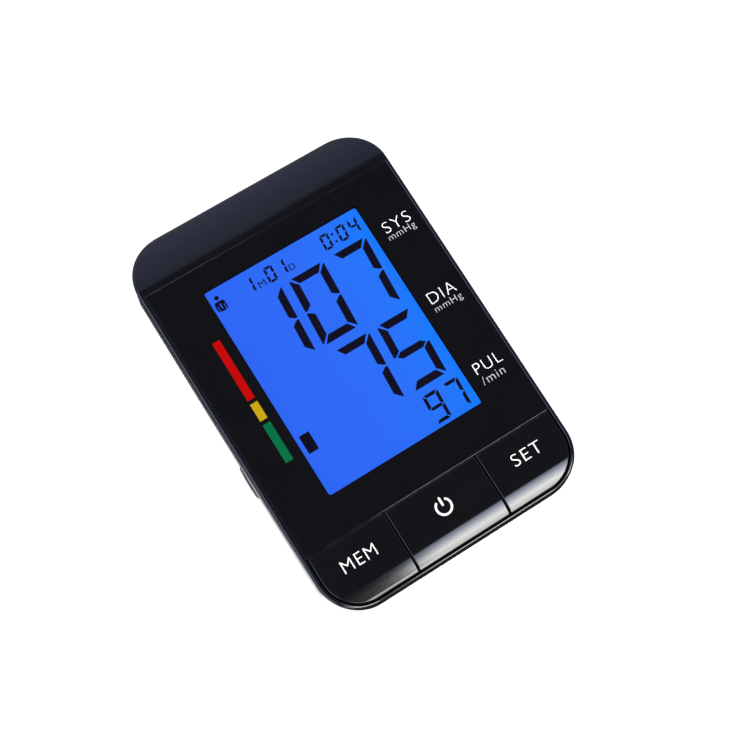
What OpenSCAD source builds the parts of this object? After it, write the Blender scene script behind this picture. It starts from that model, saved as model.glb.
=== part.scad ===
// Upper arm blood pressure monitor: a wedge-shaped table unit with a large display and three
// rocking keys, shown with everything it holds inside.
// Frame: origin on the table under the middle of the case, X to the user's right, Y to the rear,
// Z up. The upper half is drawn in the face frame, whose XY plane is the sloping face itself:
// X across, Y up the slope and Z out of the face.

/* [Case] */
// Width of the case
case_w = 98; // [97:0.5:100]
// Length of the case along the sloping face
case_l = 144; // [143:0.5:146]
// Radius of the four corners of the outline
corner_r = 15.5; // [14.5:0.5:17]
// Slope of the face against the table, in degrees
face_tilt = 11; // [10.5:0.25:11.5]
// Height of the face above the table at the front edge
front_h = 19; // [18.8:0.1:20]
// Wall thickness of both case halves
wall = 1.8; // [1.6:0.1:2]

/* [Display] */
// Width of the visible window
window_w = 60; // [56:1:62]
// Length of the visible window
window_l = 80; // [76:1:82]
// Distance of the window's middle above the middle of the face
window_up = 6.3; // [5.5:0.1:7]
// Thickness of the display lens
lens_t = 2; // [1.8:0.1:2.2]

/* [Keys] */
// Distance of the keys from the outline of the case
key_inset = 2.1; // [2:0.05:2.3]
// Width of the middle key
power_key_w = 35.2; // [33:0.2:37]
// Gap between neighbouring keys
key_gap = 0.5; // [0.4:0.1:0.8]

/* [Batteries] */
// Diameter of one AA cell
cell_d = 14.5; // [14:0.1:14.5]
// Length of one AA cell with its button
cell_l = 50.5; // [49.5:0.5:51]

/* [Air] */
// Diameter of the hole that takes the cuff plug
cuff_bore_d = 4.8; // [4.4:0.1:5]
// Depth of the hole that takes the cuff plug
cuff_bore_depth = 10; // [8:0.5:11]
// Outer diameter of the pump
pump_d = 19; // [18:0.5:19]

/* [Hidden] */
$fn = 64;
hull_fn = 32;
eps = 0.01;
BLACK = "#14161e";
DARK = "#1d1f26";
STEEL = "#b8bcc2";
COPPER = "#b4713a";
RED = "#b02020";

// Case levels in the face frame, measured down from the face
upper_depth = 13;
rim = 1.5;
edge_r = 1.5;
tape_t = 0.2;
seat_z = -lens_t - tape_t;
shelf_z = seat_z - 1.6;
brow_ceiling_z = -5;
pcb_top_z = -10;
pcb_t = 1.6;
pcb_bottom_z = pcb_top_z - pcb_t;
lens_front = -case_l / 2 + 24.7;
lens_rear = case_l / 2 - 17.1;
front_curve_r = 10;
front_curve_start = -case_l / 2 + 8.5;
rear_curve_r = 45;
rear_curve_start = case_l / 2 - 16;
fit_gap = 0.1;

// Where the face frame stands in the object's frame: the case's box is centred front to rear
front_run = case_l / 2 + front_curve_start;
front_drop = front_curve_r - sqrt(pow(front_curve_r, 2) - pow(front_run, 2));
face_mid_z = front_h + case_l / 2 * sin(face_tilt);
face_mid_y = -(upper_depth + front_drop) * sin(face_tilt) / 2;

// Base levels in the object's frame
foot_h = 1.5;
floor_z = foot_h + wall;
base_inset = 3;
lip_h = 1.2;
lip_t = 0.9;
foot_x = 41.4;
foot_y = [-50, 44];
foot_r = 4.2;
foot_seat = 0.7;

// Keys
key_rear = lens_front - 0.2;
key_top_t = 1.8;
key_skirt_z = -4.5;
key_limit_x = case_w / 2;
power_half = power_key_w / 2;
side_key_in = power_half + key_gap;
pivot_y = lens_front - 2.7;
pivot_z = -4.8;
pin_r = 1;
pin_bore_r = 1.08;
bracket_t = 2.4;
ear_t = 2;
ear_gap = 0.25;
power_bracket_x = 11.5;
side_bracket_x = [24.4, 40.6];
side_key_x = 32.5;
switch_y = pivot_y - 10;
switch_body_h = 3.5;
plunger_r = 1.7;
plunger_top_z = pcb_top_z + 4.9;
plunger_l = 2;
rib_gap = 0.04;

// Display stack
glass_t = 1.1;
glass_w = 66;
glass_l = 86;
ledge_l = 6;
lcd_z = shelf_z - fit_gap;
guide_top_z = lcd_z - 2 * glass_t - 0.15;
guide_t = 3;

// Screws
post_r = 3.2;
screw_r = 1.25;
screw_hole_r = 1.3;
screw_head_r = 2.6;
front_post = [42.8, -34];
rear_post = [42, 55];
boss_r = 2.5;
pcb_boss = [[-32.5, lens_front], [32.5, lens_front], [-30, 56.8], [30, 56.8]];

// Battery bay and door
bay_x = [-21.5, 35];
bay_y = [-1, 57.8];
door_t = 1.8;
door_lip = 2;
door_gap = 0.25;
bay_floor_z = foot_h + door_t + 0.15;
cell_z = bay_floor_z + 0.25 + cell_d / 2;
bay_top_z = cell_z + cell_d / 2 + 0.35;
bay_wall = 1.5;
cell_pitch = (bay_y[1] - bay_y[0]) / 4;
cell_mid_x = (bay_x[0] + bay_x[1]) / 2;
cell_shift = 1.3;
door_front = bay_y[0] - door_lip + door_gap;
barrel_r = 1.4;
hinge_y = bay_y[1] + 1.2;
hinge_z = foot_h + barrel_r;
door_pin_r = 0.8;
door_pin_l = 1.2;
latch_w = 14;
nose_z = bay_floor_z + 1.6;

// Air parts
tee_x = -30.5;
tee_y = -11;
tee_z = 9.5;
tee_low_z = 6.6;
barb_r = 1.5;
tube_r = 2.3;
tube_bore_r = 1.52;
air_hole_r = 0.8;
sensor_tip_z = -17.3;
socket_r = 5;
pad_x = case_w / 2 - 0.6;
pad_r = 6.6;
socket_end_x = -case_w / 2 + 0.1;
pump_x = -34.8;
pump_z = floor_z + 0.7 + pump_d / 2;
pump_y = 16;
pump_r = pump_d / 2;
nozzle_dx = tee_x - pump_x;
nozzle_dy = pump_z - tee_z;
shaft_r = 1;
cover_end = 4;
valve_plate_end = 6;
diaphragm_end = 9;
crankcase_end = 15;
motor_end = 35;
can_wall = 0.8;
crank_tilt = 5;
crank_apex = 13;
yoke_z = 10.4;
valve_x = -13;
valve_w = 10;
valve_top_z = 18;
nozzle_top_z = floor_z + 6;
seat_top_z = floor_z + 4.6;
valve_plunger_r = 2;
valve_bore_r = 2.06;
valve_travel = 0.8;

// Wiring and board parts
wire_r = 0.5;
connector_x = [-6, 4, 14];
connector_y = -34;

// DC jack
jack_y = -12;
jack_z = 9.5;
jack_bore_r = 2.85;
jack_barrel_r = 4;

// ---------- frames and shared shapes ----------

module face_frame() {
    translate([0, face_mid_y, face_mid_z]) rotate([face_tilt, 0, 0]) children();
}

// Runs along +Y from the pump's front end
module pump_frame() {
    translate([pump_x, pump_y, pump_z]) rotate([-90, 0, 0]) children();
}

module tee_frame() {
    translate([tee_x, tee_y, tee_z]) children();
}

module rounded_rect(w, l, r) {
    square([w - 2 * r, l], center = true);
    square([w, l - 2 * r], center = true);
    for (x = [-1, 1], y = [-1, 1])
        translate([x * (w / 2 - r), y * (l / 2 - r)]) circle(r);
}

// Prism on the case outline, moved in by inset, between two levels
module case_block(inset, z0, z1) {
    translate([0, 0, z0])
        linear_extrude(z1 - z0)
            rounded_rect(case_w - 2 * inset, case_l - 2 * inset, corner_r - inset);
}

// Box between two corners
module box(a, b) {
    translate(a) cube(b - a);
}

// Round bar between two levels
module post(r, z0, z1) {
    translate([0, 0, z0]) cylinder(r = r, h = z1 - z0);
}

module ring(r_out, r_in, z0, z1) {
    difference() {
        post(r_out, z0, z1);
        post(r_in, z0 - 1, z1 + 1);
    }
}

// Round bar along X
module bar_x(r, x0, x1) {
    translate([x0, 0, 0]) rotate([0, 90, 0]) cylinder(r = r, h = x1 - x0);
}

module at_each_switch() {
    for (x = [-side_key_x, 0, side_key_x]) translate([x, switch_y, 0]) children();
}

// Helical spring of round wire, one closed mesh: steps points a turn, sides points around the wire
module coil_spring(r_bottom, r_top, wire_r, height, turns, steps = 12, sides = 6) {
    count = turns * steps;
    points = [
        for (i = [0:count], k = [0:sides - 1])
            let (
                turn_a = 360 * i / steps,
                wire_a = 360 * k / sides,
                r = r_bottom + (r_top - r_bottom) * i / count + wire_r * cos(wire_a)
            )
            [r * cos(turn_a), r * sin(turn_a),
             wire_r + (height - 2 * wire_r) * i / count + wire_r * sin(wire_a)]
    ];
    walls = [
        for (i = [0:count - 1], k = [0:sides - 1])
            let (a = i * sides + k, b = i * sides + (k + 1) % sides)
            [a, a + sides, b + sides, b]
    ];
    start_cap = [[for (k = [0:sides - 1]) k]];
    end_cap = [[for (k = [0:sides - 1]) count * sides + sides - 1 - k]];
    polyhedron(points, concat(walls, start_cap, end_cap), convexity = 6);
}

// Round wire through a list of points
module wire(points) {
    for (i = [1:len(points) - 1])
        hull()
            for (p = [points[i - 1], points[i]]) translate(p) sphere(wire_r, $fn = 10);
}

// ---------- case ----------

// Quarter-round strip on the top edge of the case
module edge_profile() {
    intersection() {
        circle(edge_r);
        square(edge_r);
    }
}

module edge_strip() {
    side_x = case_w / 2 - corner_r;
    side_y = case_l / 2 - corner_r;
    translate([0, 0, -edge_r]) {
        for (k = [0:3])
            translate([side_x * (k == 0 || k == 3 ? 1 : -1), side_y * (k < 2 ? 1 : -1), 0])
                rotate([0, 0, 90 * k])
                    rotate_extrude(angle = 90) translate([corner_r - edge_r, 0]) edge_profile();
        for (a = [0, 180]) rotate([0, 0, a]) {
            translate([case_w / 2 - edge_r, side_y, 0])
                rotate([90, 0, 0]) linear_extrude(2 * side_y) edge_profile();
            translate([-side_x, case_l / 2 - edge_r, 0])
                rotate([90, 0, 90]) linear_extrude(2 * side_x) edge_profile();
        }
    }
}

// Everything above the long curve at the front edge of the face
module front_curve_cut() {
    difference() {
        box([-case_w, -case_l, -front_curve_r], [case_w, front_curve_start, 2]);
        translate([0, front_curve_start, -front_curve_r]) bar_x(front_curve_r, -2 * case_w, 2 * case_w);
    }
}

// Everything above the gentle fall of the brow towards the rear
module rear_curve_cut() {
    difference() {
        box([-case_w, rear_curve_start, -10], [case_w, case_l, 2]);
        translate([0, rear_curve_start, -rear_curve_r])
            bar_x(rear_curve_r, -2 * case_w, 2 * case_w);
    }
}

module upper_block() {
    case_block(0, -upper_depth, -edge_r);
    case_block(edge_r, -edge_r, 0);
    edge_strip();
}

// Parts of the outline in front of, or behind, a line across the face
module region(inset, z0, z1, y0, y1) {
    intersection() {
        case_block(inset, z0, z1);
        box([-case_w, y0, z0 - 1], [case_w, y1, z1 + 1]);
    }
}

module upper_posts() {
    for (x = [-1, 1], p = [front_post, rear_post]) {
        slope_y = (p[1] - face_mid_y) / cos(face_tilt);
        top_z = face_mid_z + (p[1] - face_mid_y) * tan(face_tilt);
        cut_z = upper_depth / cos(face_tilt);
        ceiling = slope_y > rear_curve_start ? -brow_ceiling_z : -shelf_z;
        translate([x * p[0], p[1], 0])
            post(post_r, top_z - cut_z + 0.8, top_z - ceiling + 0.75);
    }
}

module key_brackets() {
    xs = concat(side_bracket_x, -side_bracket_x, [power_bracket_x, -power_bracket_x]);
    for (x = xs) {
        translate([x, 0, 0]) difference() {
            box([-bracket_t / 2, pivot_y - 2.4, pivot_z - 2.4], [bracket_t / 2, pivot_y + 5, -2.9]);
            translate([0, pivot_y, pivot_z]) bar_x(pin_bore_r, -bracket_t, bracket_t);
        }
    }
}

module upper_housing() {
    color(BLACK) difference() {
        union() {
            face_frame() {
                difference() {
                    upper_block();
                    front_curve_cut();
                    rear_curve_cut();
                    region(wall, -upper_depth - 1, shelf_z, -case_l, rear_curve_start);
                    case_block(wall, -upper_depth - 1, brow_ceiling_z);
                    region(rim, seat_z, 1, lens_front, lens_rear);
                    region(rim, shelf_z - 1, 1, -case_l, lens_front);
                    translate([0, window_up, shelf_z - 1])
                        linear_extrude(4) rounded_rect(window_w + 1.5, window_l + 1.5, 1.5);
                }
                key_brackets();
                for (p = pcb_boss)
                    translate([p[0], p[1], 0])
                        ring(boss_r, screw_hole_r - 0.4, pcb_top_z, shelf_z + 0.6);
            }
            upper_posts();
        }
        for (x = [-1, 1], p = [front_post, rear_post])
            translate([x * p[0], p[1], 0]) post(screw_r - 0.2, 0, p == front_post ? 21 : 34);
        dc_jack_hole();
        socket_hole();
    }
}

// Solid of the lower half: the split outline lofted down to a smaller outline at the table
module lower_loft(inset, top, bottom) {
    hull() {
        face_frame()
            translate([0, 0, top - eps])
                linear_extrude(eps)
                    rounded_rect(case_w - 2 * inset, case_l - 2 * inset, corner_r - inset,
                                 $fn = hull_fn);
        translate([0, 0, bottom])
            linear_extrude(eps)
                rounded_rect(case_w - 2 * (base_inset + inset),
                             case_l - 2 * (base_inset + 3 + inset),
                             corner_r - base_inset - inset, $fn = hull_fn);
    }
}

module bay_block(grow, z0, z1) {
    box([bay_x[0] - grow, bay_y[0] - grow, z0], [bay_x[1] + grow, bay_y[1] + grow, z1]);
}

module dc_jack_hole() {
    translate([20, jack_y, jack_z]) bar_x(jack_barrel_r + fit_gap, 0, 40);
}

module socket_hole() {
    translate([0, tee_y, tee_z]) {
        bar_x(socket_r + fit_gap, -60, -40);
        bar_x(socket_r + 1.2 + fit_gap, -60, -pad_x);
    }
}

// Flat round pads that carry the air socket on the left and the power jack on the right
module port_pads() {
    translate([0, tee_y, tee_z]) bar_x(pad_r, -pad_x, -pad_x + 3.5);
    translate([0, jack_y, jack_z]) bar_x(pad_r - 0.8, pad_x - 3, pad_x);
}

// Ring on the split line that centres the upper half on the lower one
module split_lip() {
    difference() {
        union() {
            lip_block(wall + fit_gap, -lip_h, lip_h);
            lip_block(wall - 0.4, -lip_h - 0.4, -0.2);
        }
        lip_block(wall + lip_t, -2 * lip_h, 2 * lip_h);
    }
}

module lip_block(inset, z0, z1) {
    translate([0, 0, z0 - upper_depth])
        linear_extrude(z1 - z0)
            rounded_rect(case_w - 2 * inset, case_l - 2 * inset, corner_r - inset + 0.4);
}

module lower_posts() {
    for (x = [-1, 1], p = [front_post, rear_post]) {
        top_z = face_mid_z + (p[1] - face_mid_y) * tan(face_tilt) - upper_depth / cos(face_tilt);
        translate([x * p[0], p[1], 0]) post(post_r, floor_z - 0.5, top_z + 0.7);
    }
}

module post_bores() {
    for (x = [-1, 1], p = [front_post, rear_post]) translate([x * p[0], p[1], 0]) {
        post(screw_hole_r, 0, 60);
        post(screw_head_r + 0.2, 0, foot_h + 2.6);
    }
}

// Space for the door, its barrel, its pins and its latch
module door_opening() {
    bay_block(0, 0, bay_top_z);
    bay_block(door_lip, 0, foot_h + door_t + fit_gap);
    box([bay_x[0] - door_lip, bay_y[1] - 1, 0],
        [bay_x[1] + door_lip, hinge_y + barrel_r + door_gap, hinge_z + barrel_r + door_gap]);
    translate([0, hinge_y, hinge_z])
        bar_x(door_pin_r + 0.08, bay_x[0] - door_lip - door_pin_l, bay_x[1] + door_lip + door_pin_l);
    translate([cell_mid_x, 0, 0]) {
        half = latch_w / 2 + 0.4;
        box([-half, bay_y[0] - door_lip, 0], [half, bay_y[0] + 1, nose_z + 2.6]);
        box([-half, door_front - 1.4, nose_z - 0.15], [half, bay_y[0], nose_z + 2.6]);
    }
}

module lower_housing() {
    color(BLACK) difference() {
        union() {
            difference() {
                lower_loft(0, -upper_depth, foot_h);
                lower_loft(wall, -upper_depth + 0.6, floor_z);
            }
            bay_block(bay_wall, floor_z - 0.5, bay_top_z + bay_wall);
            bay_block(door_lip + bay_wall, floor_z - 0.5, floor_z + 2.4);
            translate([cell_mid_x, 0, 0])
                box([-latch_w / 2 - 1.9, door_front - 2.6, floor_z - 0.5],
                    [latch_w / 2 + 1.9, bay_y[0], nose_z + 3.8]);
            port_pads();
            lower_posts();
            face_frame() split_lip();
            pump_cradle();
            translate([valve_x, tee_y, 0])
                ring(valve_w / 2 + 3.2, valve_w / 2 + 2.2, floor_z - 0.3, floor_z + 0.8);
        }
        door_opening();
        post_bores();
        dc_jack_hole();
        socket_hole();
        foot_pockets();
    }
}

// Two ribs that cradle the sleeve of the pump
module pump_cradle() {
    for (y = [pump_y + 9, pump_y + 27])
        difference() {
            box([pump_x - pump_r, y, floor_z - 0.3], [pump_x + pump_r, y + 1.5, floor_z + 3]);
            translate([pump_x, y - 1, pump_z]) rotate([-90, 0, 0]) post(pump_r + 0.6, 0, 4);
        }
}

module foot_pockets() {
    for (x = [-1, 1], y = foot_y)
        translate([x * foot_x, y, 0]) post(foot_r + fit_gap, 0, foot_h + foot_seat);
}

module rubber_feet() {
    color("#26272b") for (x = [-1, 1], y = foot_y) translate([x * foot_x, y, 0]) {
        post(foot_r, 0.5, foot_h + foot_seat);
        cylinder(r1 = foot_r - 0.5, r2 = foot_r, h = 0.5);
    }
}

module case_screws() {
    color(STEEL) for (x = [-1, 1], p = [front_post, rear_post]) translate([x * p[0], p[1], 0]) {
        length = p == front_post ? 14 : 26;
        difference() {
            post(screw_head_r, foot_h + 0.9, foot_h + 2.6);
            for (a = [0, 90])
                rotate([0, 0, a]) box([-1.6, -0.35, 0], [1.6, 0.35, foot_h + 1.8]);
        }
        post(screw_r - 0.25, foot_h + 2, foot_h + 2 + length);
    }
}

// ---------- display ----------

module display_lens() {
    color(BLACK) face_frame()
        translate([0, (lens_front + lens_rear) / 2, -lens_t])
            linear_extrude(lens_t)
                rounded_rect(case_w - 2 * rim - 2 * fit_gap, lens_rear - lens_front - 2 * fit_gap, 0.4);
}

module lens_tape() {
    color("#303238") face_frame()
        translate([0, 0, seat_z]) linear_extrude(tape_t) difference() {
            translate([0, (lens_front + lens_rear) / 2])
                square([case_w - 2 * rim - 2, lens_rear - lens_front - 2], center = true);
            translate([0, window_up]) square([window_w + 4, window_l + 4], center = true);
        }
}

module lcd_panel() {
    color("#9fb6ae") face_frame() translate([0, window_up, 0]) {
        box([-glass_w / 2, -glass_l / 2 - ledge_l, lcd_z - glass_t], [glass_w / 2, glass_l / 2, lcd_z]);
        box([-glass_w / 2, -glass_l / 2, lcd_z - 2 * glass_t], [glass_w / 2, glass_l / 2, lcd_z - glass_t]);
    }
}

module light_guide() {
    color("#e9f2ff") face_frame() translate([0, window_up, guide_top_z - guide_t])
        linear_extrude(guide_t) rounded_rect(glass_w - 3.5, glass_l - 2, 1);
}

module backlight_leds() {
    color("#f4f0d0") face_frame() for (y = [-26, 0, 26])
        translate([glass_w / 2 - 0.8, window_up + y, guide_top_z - guide_t + 0.5])
            translate([-0.6, -1.75, 0]) cube([1.2, 3.5, 2]);
}

module lcd_holder() {
    outer_w = glass_w + 6;
    color("#c9ccd0") face_frame() difference() {
        box([-outer_w / 2, window_up - glass_l / 2 - ledge_l - 1.6, pcb_top_z + 0.05],
            [outer_w / 2, window_up + glass_l / 2 + 3, lcd_z]);
        box([-glass_w / 2 - 0.15, window_up - glass_l / 2 - ledge_l - 0.15, pcb_top_z - 1],
            [glass_w / 2 + 0.15, window_up + glass_l / 2 + 0.15, lcd_z + 1]);
    }
}

module contact_strip() {
    color("#e28fb0") face_frame() translate([0, window_up - glass_l / 2 - ledge_l, 0])
        box([-30, 0.5, pcb_top_z + 0.02], [30, 4, lcd_z - glass_t - 0.02]);
}

// ---------- keys and their switches ----------

// One key cap between two planes across the face, open at the back and underneath
module key_cap(x0, x1) {
    intersection() {
        difference() {
            case_block(key_inset, key_skirt_z, 0);
            front_curve_cut();
            case_block(key_inset + 1.5, key_skirt_z - 1, -key_top_t);
        }
        box([x0, -case_l, -10], [x1, key_rear, 1]);
    }
}

// Skirt wall along a straight side of a key
module key_side(x0, x1) {
    intersection() {
        case_block(key_inset, key_skirt_z, -1);
        difference() {
            box([x0, -case_l, key_skirt_z], [x1, pivot_y - 4, -1]);
            front_curve_cut();
        }
    }
}

// Ear with a pivot pin that reaches into a bracket; side is +1 for a pin along +X
module key_ear(x, side) {
    inner = side * (bracket_t / 2 + ear_gap);
    outer = inner + side * ear_t;
    translate([x, 0, 0]) {
        box([min(inner, outer), pivot_y - 2, pivot_z - 1.6], [max(inner, outer), pivot_y + 2, -1]);
        translate([0, pivot_y, pivot_z])
            bar_x(pin_r, min(outer, -side * 0.8), max(outer, -side * 0.8));
    }
}

module key(x0, x1, brackets, switch_x) {
    color(BLACK) face_frame() {
        key_cap(x0, x1);
        key_side(x0, x0 + 1.2);
        key_side(x1 - 1.2, x1);
        key_ear(brackets[0], -1);
        key_ear(brackets[1], 1);
        translate([switch_x, switch_y, 0]) post(1.6, plunger_top_z + rib_gap, -1);
    }
}

module mem_key() {
    key(-key_limit_x + key_inset, -side_key_in, [-side_bracket_x[1], -side_bracket_x[0]], -side_key_x);
}

module power_key() {
    key(-power_half, power_half, [-power_bracket_x, power_bracket_x], 0);
}

module set_key() {
    key(side_key_in, key_limit_x - key_inset, side_bracket_x, side_key_x);
}

module switch_bodies() {
    color(DARK) face_frame() at_each_switch() difference() {
        box([-3, -3, pcb_top_z], [3, 3, pcb_top_z + switch_body_h]);
        post(plunger_r + 0.1, pcb_top_z + 2.55, 0);
    }
}

module switch_plunger(x) {
    color("#e8e8e4") face_frame() translate([x, switch_y, 0])
        post(plunger_r, plunger_top_z - plunger_l, plunger_top_z);
}

module mem_switch_plunger() { switch_plunger(-side_key_x); }
module power_switch_plunger() { switch_plunger(0); }
module set_switch_plunger() { switch_plunger(side_key_x); }

// ---------- circuit board ----------

module main_pcb() {
    color("#1f6b3a") face_frame() difference() {
        translate([0, -3.5, pcb_bottom_z]) linear_extrude(pcb_t) rounded_rect(77, 127, 8);
        for (p = pcb_boss) translate([p[0], p[1], 0]) post(screw_hole_r, -20, 0);
    }
}

module pcb_screws() {
    color(STEEL) face_frame() for (p = pcb_boss) translate([p[0], p[1], 0]) {
        post(2.2, pcb_bottom_z - 1.4, pcb_bottom_z);
        post(0.8, pcb_bottom_z - 1, pcb_top_z + 4);
    }
}

module processor_chip() {
    color("#202226") face_frame() {
        box([5, -23, pcb_bottom_z - 1.6], [17, -11, pcb_bottom_z - 0.2]);
        for (i = [0:9], side = [-1, 1])
            translate([11 + side * 6.4, -21.5 + i, pcb_bottom_z - 0.6])
                cube([1.6, 0.4, 1.1], center = true);
    }
}

module capacitors() {
    color("#3a4a8a") face_frame() for (p = [[28, -27], [28, -35], [-24, -42]])
        translate([p[0], p[1], 0]) {
            post(3, pcb_bottom_z - 4.2, pcb_bottom_z - 0.4);
            box([-3.2, -3.2, pcb_bottom_z - 0.5], [3.2, 3.2, pcb_bottom_z]);
        }
}

module buzzer() {
    color(DARK) face_frame() translate([8, -48, 0]) difference() {
        post(4.5, pcb_bottom_z - 2.6, pcb_bottom_z);
        post(0.8, pcb_bottom_z - 4, pcb_bottom_z - 1.6);
    }
}

module wire_connectors() {
    color("#f2efe2") face_frame() for (x = connector_x)
        translate([x, connector_y, 0])
            box([-3.5, -2.2, pcb_bottom_z - 2.4], [3.5, 2.2, pcb_bottom_z]);
}

// The sensor stands over the tee, square to the board
module over_tee() {
    y = (tee_y - face_mid_y) * cos(face_tilt) - (face_mid_z - tee_z) * sin(face_tilt);
    translate([tee_x, y, 0]) children();
}

module pressure_sensor() {
    color("#d8dadd") face_frame() over_tee() difference() {
        union() {
            box([-3.5, -3.5, pcb_bottom_z - 2.6], [3.5, 3.5, pcb_bottom_z]);
            post(barb_r, sensor_tip_z + 0.4, pcb_bottom_z - 2);
        }
        post(air_hole_r, sensor_tip_z - 1, pcb_bottom_z - 1.5);
    }
}

// ---------- batteries ----------

module cell_rows() {
    for (i = [0:3])
        translate([cell_mid_x, bay_y[0] + cell_pitch * (i + 0.5), cell_z])
            rotate([0, 0, i % 2 == 0 ? 0 : 180]) children();
}

module aa_cells() {
    color("#6b7f9e") cell_rows() translate([cell_shift, 0, 0]) {
        bar_x(cell_d / 2, -cell_l / 2, cell_l / 2 - 1);
        bar_x(2.6, cell_l / 2 - 1.2, cell_l / 2);
    }
}

module battery_contacts() {
    half = (bay_x[1] - bay_x[0]) / 2;
    color(STEEL) cell_rows() {
        box([half - 0.5, -5, -5.5], [half - 0.1, 5, 5.5]);
        translate([half - 1.4, 0, 0]) bar_x(2.4, 0, 1.1);
        box([-half + 0.1, -5, -5.5], [-half + 0.5, 5, 5.5]);
    }
}

module battery_springs() {
    half = (bay_x[1] - bay_x[0]) / 2;
    color(STEEL) cell_rows()
        translate([-half + 0.55, 0, 0]) rotate([0, 90, 0])
            coil_spring(4.4, 2.6, 0.35, half - 0.65 - (cell_l / 2 - cell_shift), 3);
}

// ---------- battery door ----------

// Plate with a round barrel along its rear edge, which turns on a pin at each end
module battery_door() {
    x0 = bay_x[0] - door_lip + door_gap;
    x1 = bay_x[1] + door_lip - door_gap;
    color(BLACK) {
        difference() {
            union() {
                box([x0, door_front, foot_h], [x1, hinge_y, foot_h + door_t]);
                translate([0, hinge_y, hinge_z]) bar_x(barrel_r, x0, x1);
            }
            translate([cell_mid_x, door_front, 0]) {
                box([-latch_w / 2 - 0.3, -1, 0], [latch_w / 2 + 0.3, 3.3, 10]);
                for (i = [0:4])
                    translate([0, 6 + 1.6 * i, 0]) box([-8, 0, 0], [8, 0.8, foot_h + 0.5]);
            }
        }
        translate([0, hinge_y, hinge_z])
            bar_x(door_pin_r, x0 - door_pin_l, x1 + door_pin_l);
    }
}

// Springy tongue that holds the door shut: a finger pad that turns up into the case, with a nose
// that hooks over the sill of the opening
module door_latch() {
    half = latch_w / 2;
    color(BLACK) translate([cell_mid_x, door_front, 0]) {
        box([-half, 0, foot_h], [half, 3, foot_h + door_t]);
        box([-half, 0, foot_h + door_t - 0.2], [half, 1.1, nose_z + 1]);
        box([-half + 2, -1, nose_z], [half - 2, 0.2, nose_z + 1]);
    }
}

// ---------- air path ----------

module air_socket() {
    depth_x = socket_end_x + cuff_bore_depth;
    nipple_x = tee_x - 9;
    color("#3a3d44") translate([0, tee_y, tee_z]) difference() {
        union() {
            bar_x(socket_r, socket_end_x, depth_x + 1.5);
            bar_x(socket_r + 1.2, socket_end_x, -pad_x);
            bar_x(barb_r, depth_x + 1, tee_x - 3.6);
        }
        bar_x(cuff_bore_d / 2, socket_end_x - 2, depth_x);
        bar_x(air_hole_r, depth_x - 1, nipple_x + 12);
    }
}

module tube_tee() {
    well_r = 1.1;
    color("#e6e8ea") tee_frame() difference() {
        union() {
            post(2.8, tee_low_z - tee_z - 2.4, 1.6);
            rotate([-90, 0, 0]) post(barb_r, 2, 6);
            translate([0, 0, tee_low_z - tee_z]) bar_x(barb_r, 2, 6);
            bar_x(2.2, -3.5, -1);
            rotate([face_tilt, 0, 0]) post(barb_r, 1.2, 3.5);
        }
        post(well_r, tee_low_z - tee_z - 1, 1);
        rotate([-90, 0, 0]) post(air_hole_r, 0.5, 7);
        translate([0, 0, tee_low_z - tee_z]) bar_x(air_hole_r, 0.5, 7);
        bar_x(air_hole_r, -6, -0.5);
        rotate([face_tilt, 0, 0]) post(air_hole_r - 0.1, 0.6, 7);
    }
}

module tube(z0, z1) {
    ring(tube_r, tube_bore_r, z0, z1);
}

module air_tubes() {
    valve_tip = valve_x - valve_w / 2 - 0.3;
    color("#dfe4e6") tee_frame() {
        rotate([-90, 0, 0]) tube(3, pump_y - tee_y - 0.3);
        translate([0, 0, tee_low_z - tee_z]) rotate([0, 90, 0]) tube(3.2, valve_tip - tee_x);
        rotate([face_tilt, 0, 0]) tube(2.3, 6.7);
    }
}

// ---------- pump ----------

module pump_cover() {
    color("#d9dcdf") pump_frame() difference() {
        union() {
            post(pump_r, 0, cover_end);
            translate([nozzle_dx, nozzle_dy, 0]) post(barb_r, -6, 1);
        }
        post(pump_r - 1.5, 1.4, cover_end + 1);
        translate([nozzle_dx, nozzle_dy, 0]) post(air_hole_r, -7, 3);
    }
}

module pump_valve_plate() {
    color("#aeb4ba") pump_frame() difference() {
        post(pump_r, cover_end, valve_plate_end);
        for (a = [30:120:270], d = [3.4, 6])
            rotate([0, 0, a]) translate([d, 0, 0]) post(0.5, 0, 10);
    }
}

module pump_diaphragm() {
    color("#55585e") pump_frame() difference() {
        union() {
            post(pump_r, valve_plate_end, valve_plate_end + 0.8);
            for (a = [30:120:270])
                rotate([0, 0, a]) translate([4.8, 0, 0]) post(2.6, valve_plate_end + 0.5, diaphragm_end);
        }
        for (a = [30:120:270])
            rotate([0, 0, a]) translate([4.8, 0, 0])
                post(2, valve_plate_end - 1, diaphragm_end - 0.6);
    }
}

module pump_crankcase() {
    color("#c9cdd1") pump_frame() {
        ring(pump_r, pump_r - 1.2, valve_plate_end + 0.8, crankcase_end);
        ring(pump_r, 3, crankcase_end - 0.8, crankcase_end);
    }
}

// The yoke rides on the leaning crank pin, so it nods without turning
module crank_frame() {
    translate([0, 0, crank_apex]) rotate([0, crank_tilt, 0]) translate([0, 0, -crank_apex]) children();
}

module pump_yoke() {
    color("#f0efe8") pump_frame() crank_frame() difference() {
        union() {
            ring(2.2, 0.9, yoke_z - 0.2, yoke_z + 1.4);
            for (a = [30:120:270])
                rotate([0, 0, a]) box([1.8, -1.4, yoke_z], [6.4, 1.4, yoke_z + 1]);
        }
        post(0.9, 0, 20);
    }
}

module pump_eccentric() {
    color("#8f949a") pump_frame() {
        ring(3.2, shaft_r, 12.6, 14);
        post(3.2, 12.4, 12.9);
        crank_frame() post(0.85, yoke_z - 0.2, 12.8);
    }
}

module motor_shaft() {
    color(STEEL) pump_frame() post(shaft_r - 0.02, 12.9, motor_end + 0.3);
}

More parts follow.
